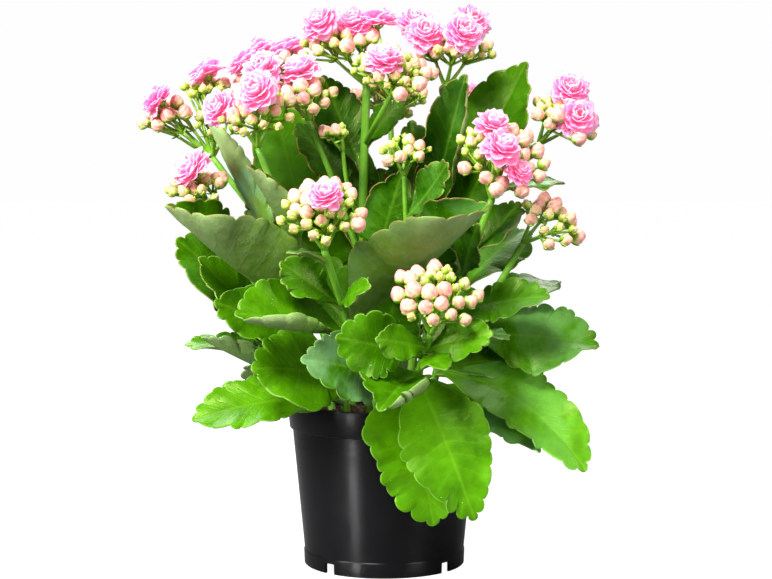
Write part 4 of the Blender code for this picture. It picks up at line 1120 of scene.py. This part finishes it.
def leaf_finish():
    """Waxy green leaf: veins, midrib, coloured margin with a painted highlight on the lower leaves, dull
    underside, bloom with painted sheen, tone with painted light, and pale specks.
    """
    shader = Shader("leaf_green", Specular_IOR_Level=0.32, Specular_Tint=(0.85, 1.0, 0.3, 1.0))
    inset = shader.attribute("inset")
    under = shader.spread(shader.attribute("upper"), 0.35, 0.65, 1.0, 0.0)
    age = shader.attribute("age")
    broad = shader.noise(26 * MM)
    fine = shader.noise(5 * MM, 4.0)
    # Each leaf's tone: partly painted light from the listed tones, darkened with age and varied by random
    # patches.
    tone = shader.math("MULTIPLY_ADD", shader.attribute("shade"), 0.22, 0.56)
    tone = shader.math("SUBTRACT", tone, shader.times(age, 0.36))
    tone = shader.plus(tone, shader.spread(broad, 0.3, 0.7, -0.22, 0.22))
    tone = shader.plus(tone, shader.spread(fine, 0.3, 0.7, -0.1, 0.1))
    colour = shader.mix(tone, LEAF_DARK, LEAF_LIGHT)
    lobe = shader.plus(shader.attribute("lobe"), shader.spread(fine, 0.2, 0.8, -0.1, 0.1))
    from_vein = shader.math("ABSOLUTE", shader.math("SUBTRACT", shader.math("FRACT", lobe), 0.5))
    inside = shader.spread(inset, 1.0 * MM, 4.0 * MM)
    vein = shader.times(shader.spread(from_vein, 0.0, 0.13, 1.0, 0.0), inside)
    colour = shader.mix(shader.times(vein, 0.10), colour, LEAF_VEIN)
    from_rib = shader.math("ABSOLUTE", shader.attribute("across"))
    rib = shader.spread(from_rib, 0.2 * MM, 1.4 * MM, 1.0, 0.0)
    colour = shader.mix(shader.times(rib, 0.26), colour, LEAF_VEIN)
    blotch = shader.spread(fine, 0.35, 0.75)
    pale = shader.times(blotch, 0.22)
    pale = shader.plus(pale, shader.spread(shader.attribute("along"), 0.4, 1.0, 0.0, 0.6))
    dull_young = shader.mix(pale, UNDER_YOUNG, UNDER_PALE)
    dull = shader.mix(age, dull_young, shader.mix(pale, UNDER_OLD, UNDER_PALE))
    dull = shader.mix(shader.times(rib, 0.5), dull, UNDER_RIB)
    colour = shader.mix(under, colour, dull)
    # Bloom: partly the wax's own, and partly a painted sheen and painted back light on the listed leaves.
    bloom = shader.times(shader.attribute("bloom"), shader.spread(broad, 0.42, 0.62))
    colour = shader.mix(bloom, colour, LEAF_BLOOM_AND_SHEEN)
    speck = shader.times(shader.spread(shader.cells(3.4 * MM), 0.05, 0.09, 1.0, 0.0),
                         shader.spread(shader.noise(14 * MM), 0.5, 0.6))
    colour = shader.mix(shader.times(speck, 0.55), colour, LEAF_SPECK)
    # Margin line: red on the older upper leaves, and on the lower ones a pale painted highlight along the
    # edge.
    rim_old = shader.mix(blotch, RIM_OLD, RIM_PAINTED_HIGHLIGHT)
    rim_colour = shader.mix(shader.spread(age, 0.3, 0.6), RIM_PAINTED_HIGHLIGHT, rim_old)
    rim = shader.spread(inset, 0.15 * MM, 0.65 * MM, 1.0, 0.0)
    rim = shader.times(rim, shader.spread(age, 0.2, 0.6, 0.28, 0.8))
    colour = shader.mix(rim, colour, rim_colour)
    gloss = shader.spread(under, 0.0, 1.0, 0.36, 0.52)
    gloss = shader.plus(gloss, shader.spread(fine, 0.3, 0.7, -0.06, 0.08))
    gloss = shader.plus(gloss, shader.times(bloom, 0.18))
    grain = shader.noise(0.9 * MM, 2.0)
    relief = shader.plus(shader.times(grain, 0.26), shader.times(fine, 0.9))
    vein_relief = shader.times(vein, shader.spread(under, 0.0, 1.0, -0.12, 0.12))
    relief = shader.plus(relief, vein_relief)
    return shader.finish(colour, gloss, relief, 0.45 * MM)


def stem_finish():
    """Smooth light green stem, yellower on the youngest stalks and sepals."""
    shader = Shader("green_stem", Specular_IOR_Level=0.4)
    young = shader.attribute("young")
    streak = shader.noise(4 * MM)
    colour = shader.mix(streak, STEM_DARK, STEM_LIGHT)
    colour = shader.mix(young, colour, shader.mix(streak, STALK_GREEN, STALK_YELLOW))
    speck = shader.spread(shader.cells(1.6 * MM), 0.08, 0.16, 0.35, 0.0)
    colour = shader.mix(speck, colour, STEM_SPECK)
    gloss = shader.spread(streak, 0.3, 0.7, 0.36, 0.48)
    return shader.finish(colour, gloss, shader.noise(1.2 * MM), 0.12 * MM)


def bud_finish():
    """Cream bud that is green at its foot and flushed with pink towards its tip, with painted shade along the
    creases where its petals overlap.
    """
    shader = Shader("bud", Specular_IOR_Level=0.35, Subsurface_Weight=0.12,
                    Subsurface_Radius=(1.0, 0.6, 0.4), Subsurface_Scale=1.2 * MM)
    height = shader.attribute("height")
    young = shader.attribute("young")
    mottle = shader.noise(1.6 * MM)
    flush = shader.mix(shader.attribute("blush"), BUD_PEACH, BUD_PINK)
    patches = shader.spread(mottle, 0.25, 0.75, 0.55, 1.0)
    top = shader.times(shader.spread(height, 0.35, 0.95), patches)
    colour = shader.mix(top, BUD_CREAM, flush)
    colour = shader.mix(shader.times(young, 0.62), colour, BUD_YOUNG)
    colour = shader.mix(shader.spread(height, 0.08, 0.42, 1.0, 0.0), colour, BUD_FOOT)
    # Painted shade in the creases where one petal wraps over the next, greener on young buds.
    crease_shade = shader.times(shader.spread(shader.attribute("fold"), 0.55, 0.98),
                          shader.spread(height, 0.2, 0.55, 0.0, 0.75))
    colour = shader.mix(crease_shade, colour, shader.mix(young, BUD_CREASE_SHADE, BUD_FOOT))
    return shader.finish(colour, 0.42, mottle, 0.1 * MM)


def petal_finish():
    """Pink petal, deeper at its foot, partly a painted shade between the petals, pale at its edge and lighter
    in the middle of the flower, with a faint painted glow.
    """
    # The emission is a painted glow that lightens the petals' shaded sides.
    shader = Shader("petal", Specular_IOR_Level=0.2, Subsurface_Weight=0.8,
                    Subsurface_Radius=(1.0, 0.4, 0.5), Subsurface_Scale=3.0 * MM,
                    Emission_Color=(*PETAL_PINK, 1.0), Emission_Strength=PETAL_PAINTED_GLOW)
    reach = shader.attribute("reach")
    # Deeper pink towards the foot of each petal, partly painted shade between the petals.
    colour = shader.mix(shader.spread(reach, 0.2, 0.7), PETAL_DEEP_AND_SHADE, PETAL_PINK)
    tint = shader.spread(shader.attribute("tint"), 0.0, 1.0, 0.2, 0.9)
    tip = shader.times(shader.spread(reach, 0.45, 1.0), tint)
    colour = shader.mix(tip, colour, PETAL_PALE)
    middle = shader.spread(shader.attribute("layer"), 0.45, 1.0, 0.0, 0.6)
    colour = shader.mix(middle, colour, PETAL_MIDDLE)
    vein = shader.noise(0.7 * MM, 2.0)
    return shader.finish(colour, 0.5, vein, 0.12 * MM)


def soil_finish():
    """Dark brown peat with lighter fibres."""
    shader = Shader("peat", Specular_IOR_Level=0.2)
    crumbs = shader.noise(2.2 * MM, 6.0, 0.7)
    colour = shader.mix(shader.spread(crumbs, 0.35, 0.7), SOIL_DARK, SOIL_LIGHT)
    colour = shader.mix(shader.spread(shader.cells(2.8 * MM), 0.1, 0.2, 0.5, 0.0), colour, SOIL_FIBRE)
    return shader.finish(colour, 0.92, crumbs, 1.1 * MM)


def plastic_finish():
    """Satin black plastic with faint turned rings and dust."""
    shader = Shader("black_plastic", Specular_IOR_Level=0.12, Anisotropic=0.8, Anisotropic_Rotation=0.25)
    dust = shader.noise(9 * MM, 5.0, 0.6)
    height = shader.node("ShaderNodeSeparateXYZ")
    shader.feed(height.inputs[0], shader.place)
    ring = shader.math("SINE", shader.times(height.outputs["Z"], 2.0 * math.pi / (1.7 * MM)))
    relief = shader.plus(shader.times(ring, 0.10), shader.times(dust, 0.5))
    relief = shader.plus(relief, shader.times(shader.noise(0.5 * MM, 2.0), 0.16))
    colour = shader.mix(shader.spread(dust, 0.45, 0.8), POT_BLACK, POT_DUST)
    return shader.finish(colour, shader.spread(dust, 0.3, 0.7, 0.29, 0.33), relief, 0.04 * MM)


# Pot and soil.
EAST = Vector((1, 0, 0))
NORTH = Vector((0, 1, 0))
POT_HEIGHT = 92.5 * MM
RIM_RADIUS = 55.0 * MM
RIM_BAND = 14.5 * MM
RIM_STEP = 1.6 * MM
FOOT_RADIUS = 45.4 * MM
FOOT_BAND = 8.0 * MM
FOOT_STEP = 0.5 * MM
WALL = 1.4 * MM
WALL_HEIGHTS = (20, 40, 60, 67.0, 67.6, 68.2, 68.8, 72.0, 72.6, 73.2, 73.8, 76)
RAISED_HEIGHTS = (67.6, 68.2, 72.6, 73.2)
RAISED_BY = 0.05 * MM
BASE_UNDERSIDE = 5.0 * MM
BASE_THICKNESS = 1.6 * MM
DISC_RADIUS = 30.0 * MM
DISC_SLOPE = 2.0 * MM
POT_SEGMENTS = 160
DRAIN_TURN = math.radians(3.5)
DRAIN_WIDTH = 6.6 * MM
DRAIN_HEIGHT = 5.8 * MM
SEAM_PLACE = -13.0 * MM
STRIP_HALF = 0.3 * MM
STRIP_DEPTH = 0.62 * MM
SOIL_EDGE = 84.0 * MM
SOIL_TOP = 87.0 * MM
SOIL_SEGMENTS = 90
SOIL_RINGS = 28
SOIL_ROUGHNESS = 1.3 * MM
CRUMBS = 420
CRUMB_SIZES = (0.5, 1.7)
CRUMB_SIDES = 6
GAP = 0.35 * MM


def level_ring(radius, height, segments):
    """A level ring about the Z axis, or its single middle point."""
    centre = Vector((0, 0, height))
    return [centre] if radius == 0 else circle(centre, EAST, NORTH, radius, segments)


def wall_radius(height):
    """Outer radius of the pot's body, which widens evenly from foot to rim."""
    band_top = POT_HEIGHT - RIM_BAND
    rim_root = RIM_RADIUS - RIM_STEP - 1.2 * MM
    share = (height - FOOT_BAND) / (band_top - FOOT_BAND)
    return FOOT_RADIUS + share * (rim_root - FOOT_RADIUS)


def wall_rings():
    """The pot's outer wall above its foot band, with two faint raised rings."""
    points = []
    for height in WALL_HEIGHTS:
        proud = RAISED_BY if height in RAISED_HEIGHTS else 0.0
        points.append((wall_radius(height * MM) + proud, height * MM))
    return points


def build_pot(finish):
    """Build the pot with its rim band, foot band, raised base, drain slots and moulding line."""
    band_top = POT_HEIGHT - RIM_BAND
    base_top = BASE_UNDERSIDE + BASE_THICKNESS
    root = wall_radius(band_top)
    foot = FOOT_RADIUS + FOOT_STEP
    soft = 0.3 * MM
    profile = [(0.0, 0.0), (DISC_RADIUS - soft, 0.0), (DISC_RADIUS + soft, 2 * soft),
               (DISC_RADIUS + DISC_SLOPE, BASE_UNDERSIDE), (FOOT_RADIUS - WALL, BASE_UNDERSIDE),
               (FOOT_RADIUS - WALL, 0.0), (foot - 2 * soft, 0.0), (foot - soft, soft),
               (foot, FOOT_BAND - soft), (foot - soft / 2, FOOT_BAND + soft / 2),
               (FOOT_RADIUS + soft / 3, FOOT_BAND + FOOT_STEP), (wall_radius(9.5 * MM), 9.5 * MM)]
    profile += wall_rings()
    profile += [(root, band_top - 0.6 * MM), (root + RIM_STEP - soft, band_top - soft / 2),
                (root + RIM_STEP, band_top + soft)]
    for turn in range(9):
        angle = math.pi * turn / 8
        lip = 0.75 * MM
        centre = RIM_RADIUS - lip
        profile.append((centre + lip * math.cos(angle), POT_HEIGHT - lip + lip * math.sin(angle)))
    profile += [(RIM_RADIUS - 2.4 * MM, POT_HEIGHT - 1.6 * MM), (root + RIM_STEP - WALL, band_top + WALL),
                (root - WALL, band_top), (FOOT_RADIUS - WALL + 0.1 * MM, base_top + 1.0 * MM),
                (FOOT_RADIUS - WALL - 1.0 * MM, base_top), (DISC_RADIUS + DISC_SLOPE - 1.0 * MM, base_top),
                (DISC_RADIUS - 1.0 * MM, BASE_THICKNESS), (0.0, BASE_THICKNESS)]
    shell = Growth()
    shell.add([level_ring(radius, height, POT_SEGMENTS) for radius, height in profile])
    seam_turn = math.asin(SEAM_PLACE / RIM_RADIUS) - math.pi / 2
    add_strip(shell, seam_turn, root + RIM_STEP - 0.4 * MM, band_top + 1 * MM,
              RIM_RADIUS - 0.4 * MM, POT_HEIGHT - 2 * MM)
    pot = shell.piece("pot_shell", finish)
    pot.data.set_sharp_from_angle(angle=math.radians(35))
    cut_slots(pot)
    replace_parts(pot, "pot")


def outwards(turn):
    """The level direction at an angle about the Z axis, and the direction across it."""
    return Vector((math.cos(turn), math.sin(turn), 0.0)), Vector((-math.sin(turn), math.cos(turn), 0.0))


def add_strip(shell, turn, low_radius, low, high_radius, high):
    """Add the thin upright moulding line on the rim band."""
    ahead, side = outwards(turn)
    side = side * STRIP_HALF
    rings = []
    for radius, height in ((low_radius, low), (high_radius, high)):
        middle = ahead * radius + Vector((0, 0, height))
        out = ahead * STRIP_DEPTH
        rings.append([middle - side, middle - side * 0.5 + out, middle + side * 0.5 + out, middle + side])
    shell.add(rings)


def cut_slots(pot):
    """Cut the drain slots through the pot's foot wall."""
    cutter = bmesh.new()
    for quarter in QUARTERS:
        ahead, side = outwards(DRAIN_TURN + quarter)
        side = side * (DRAIN_WIDTH / 2)
        corners = []
        for height in (-2 * MM, DRAIN_HEIGHT):
            level = Vector((0, 0, height))
            near, far = ahead * (FOOT_RADIUS - WALL - 4 * MM), ahead * (FOOT_RADIUS + 5 * MM)
            corners.append([cutter.verts.new(near + offset + level) for offset in (-side, side)]
                           + [cutter.verts.new(far + offset + level) for offset in (side, -side)])
        cutter.faces.new(corners[0])
        cutter.faces.new(corners[1])
        for corner in range(4):
            following = (corner + 1) % 4
            cutter.faces.new((corners[0][corner], corners[0][following],
                              corners[1][following], corners[1][corner]))
    bmesh.ops.recalc_face_normals(cutter, faces=cutter.faces)
    mesh = bpy.data.meshes.new("slot_cutter")
    cutter.to_mesh(mesh)
    cutter.free()
    helper = add_object("slot_cutter", mesh)
    modifier = pot.modifiers.new("slots", "BOOLEAN")
    modifier.operation = "DIFFERENCE"
    modifier.solver = "EXACT"
    modifier.object = helper
    graph = bpy.context.evaluated_depsgraph_get()
    cut = bpy.data.meshes.new_from_object(pot.evaluated_get(graph))
    pot.modifiers.clear()
    pot.data = cut
    bpy.data.objects.remove(helper, do_unlink=True)


def build_soil(finish):
    """Build the plug of peat with a rough top and loose crumbs."""
    chance = random.Random(5)
    bottom = BASE_UNDERSIDE + BASE_THICKNESS + GAP
    disc = DISC_RADIUS - 1.0 * MM - GAP
    band_top = POT_HEIGHT - RIM_BAND
    wall_low = wall_radius(bottom) - WALL - GAP
    wall_high = wall_radius(band_top) - WALL - GAP
    soil = Growth()
    profile = [(0.0, BASE_THICKNESS + GAP), (disc, BASE_THICKNESS + GAP), (disc + DISC_SLOPE, bottom),
               (wall_low - 1.2 * MM, bottom), (wall_low, bottom + 1.5 * MM), (wall_high, band_top - 0.5 * MM)]
    rings = [level_ring(radius, height, SOIL_SEGMENTS) for radius, height in profile]
    edge = wall_high + 0.8 * MM
    for step in range(SOIL_RINGS):
        ring = level_ring(edge * (1.0 - step / SOIL_RINGS), 0.0, SOIL_SEGMENTS)
        for point in ring:
            point.z = soil_height(point)
        rings.append(ring)
    rings.append([Vector((0, 0, SOIL_TOP))])
    soil.add(rings)
    for _ in range(CRUMBS):
        reach = edge * math.sqrt(chance.random()) * 0.96
        turn = chance.uniform(0.0, 2.0 * math.pi)
        place = Vector((reach * math.cos(turn), reach * math.sin(turn), 0.0))
        place.z = soil_height(place) + 0.2 * MM
        add_crumb(soil, place, chance.uniform(*CRUMB_SIZES) * MM, chance)
    made = soil.piece("soil_plug", finish)
    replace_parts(made, "soil")


def soil_height(point):
    """Height of the rough soil surface at a point."""
    reach = min(1.0, point.xy.length / (RIM_RADIUS - 4 * MM))
    dome = SOIL_EDGE + (SOIL_TOP - SOIL_EDGE) * (1.0 - reach ** 2) - 0.6 * MM
    return dome + SOIL_ROUGHNESS * noise.fractal(point / (4.5 * MM), 0.8, 2.1, 4) * 0.6


def add_crumb(soil, place, size, chance):
    """Add one lumpy crumb."""
    axis = Vector([chance.uniform(-1.0, 1.0) for _ in range(3)]).normalized()
    side = axis.orthogonal().normalized()
    up = axis.cross(side)
    rings = [[place - axis * size]]
    for height, reach in ((-0.5, 0.85), (0.1, 1.0), (0.6, 0.7)):
        ring = circle(place + axis * (height * size), side, up, reach * size * 0.8, CRUMB_SIDES)
        rings.append([point + (point - place) * chance.uniform(-0.25, 0.25) for point in ring])
    rings.append([place + axis * size])
    soil.add(rings)


def build_stage():
    """Set the pale floor, white surroundings and soft studio lights."""
    ground = bmesh.new()
    bmesh.ops.create_grid(ground, x_segments=1, y_segments=1, size=FLOOR_SIZE)
    mesh = bpy.data.meshes.new("floor")
    ground.to_mesh(mesh)
    ground.free()
    floor = add_object("floor", mesh)
    paint = Shader("floor_white", Roughness=0.9, Base_Color=FLOOR_GREY, Emission_Color=WHITE)
    seen = paint.node("ShaderNodeLightPath").outputs["Is Camera Ray"]
    paint.feed(paint.surface.inputs["Emission Strength"], paint.times(seen, FLOOR_GLOW))
    floor.data.materials.append(paint.material)

    world = bpy.data.worlds.new("studio")
    bpy.context.scene.world = world
    world.use_nodes = True
    tree = world.node_tree
    backdrop = tree.nodes["Background"]
    backdrop.inputs["Color"].default_value = WHITE
    seen = tree.nodes.new("ShaderNodeLightPath").outputs["Is Camera Ray"]
    strength = tree.nodes.new("ShaderNodeMapRange")
    strength.inputs["To Min"].default_value = SURROUNDINGS
    strength.inputs["To Max"].default_value = BACKDROP
    tree.links.new(seen, strength.inputs["Value"])
    tree.links.new(strength.outputs[0], backdrop.inputs["Strength"])
    for name, place, aim, size, power, spread in LIGHTS:
        lamp = bpy.data.lights.new(name, "AREA")
        lamp.shape = "RECTANGLE"
        lamp.size, lamp.size_y = size
        lamp.energy = power
        lamp.spread = math.radians(spread)
        made = add_object(name, lamp)
        made.location = place
        made.rotation_euler = (Vector(aim) - Vector(place)).to_track_quat("-Z", "Y").to_euler()
    bpy.context.scene.view_settings.view_transform = "Standard"


def build_camera():
    """Stand the camera in front of the plant, a little above its middle."""
    lens = bpy.data.cameras.new("camera")
    lens.sensor_width = CAMERA_SENSOR
    lens.lens = CAMERA_LENS
    lens.clip_start = 0.01
    camera = add_object("camera", lens)
    camera.location = CAMERA_PLACE
    camera.rotation_euler = (math.pi / 2 - CAMERA_DIP, 0.0, 0.0)
    bpy.context.scene.camera = camera


def build_plant():
    """Build every leaf and shoot in the place of its plain solid."""
    stems = read_stems()
    leaf_green = leaf_finish()
    finishes = {"stem": stem_finish(), "bud": bud_finish(), "petal": petal_finish()}
    for leaf in map(Leaf._make, LEAVES):
        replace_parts(build_leaf(leaf, stems, leaf_green), leaf.name)
    for leaf in map(Leaf._make, BRACTS):
        build_leaf(leaf, stems, leaf_green)
    for shoot in sorted({stem["shoot"] for stem in stems.values()}):
        build_shoot(shoot, stems, finishes)


build_camera()
build_stage()
build_plant()
build_soil(soil_finish())
build_pot(plastic_finish())
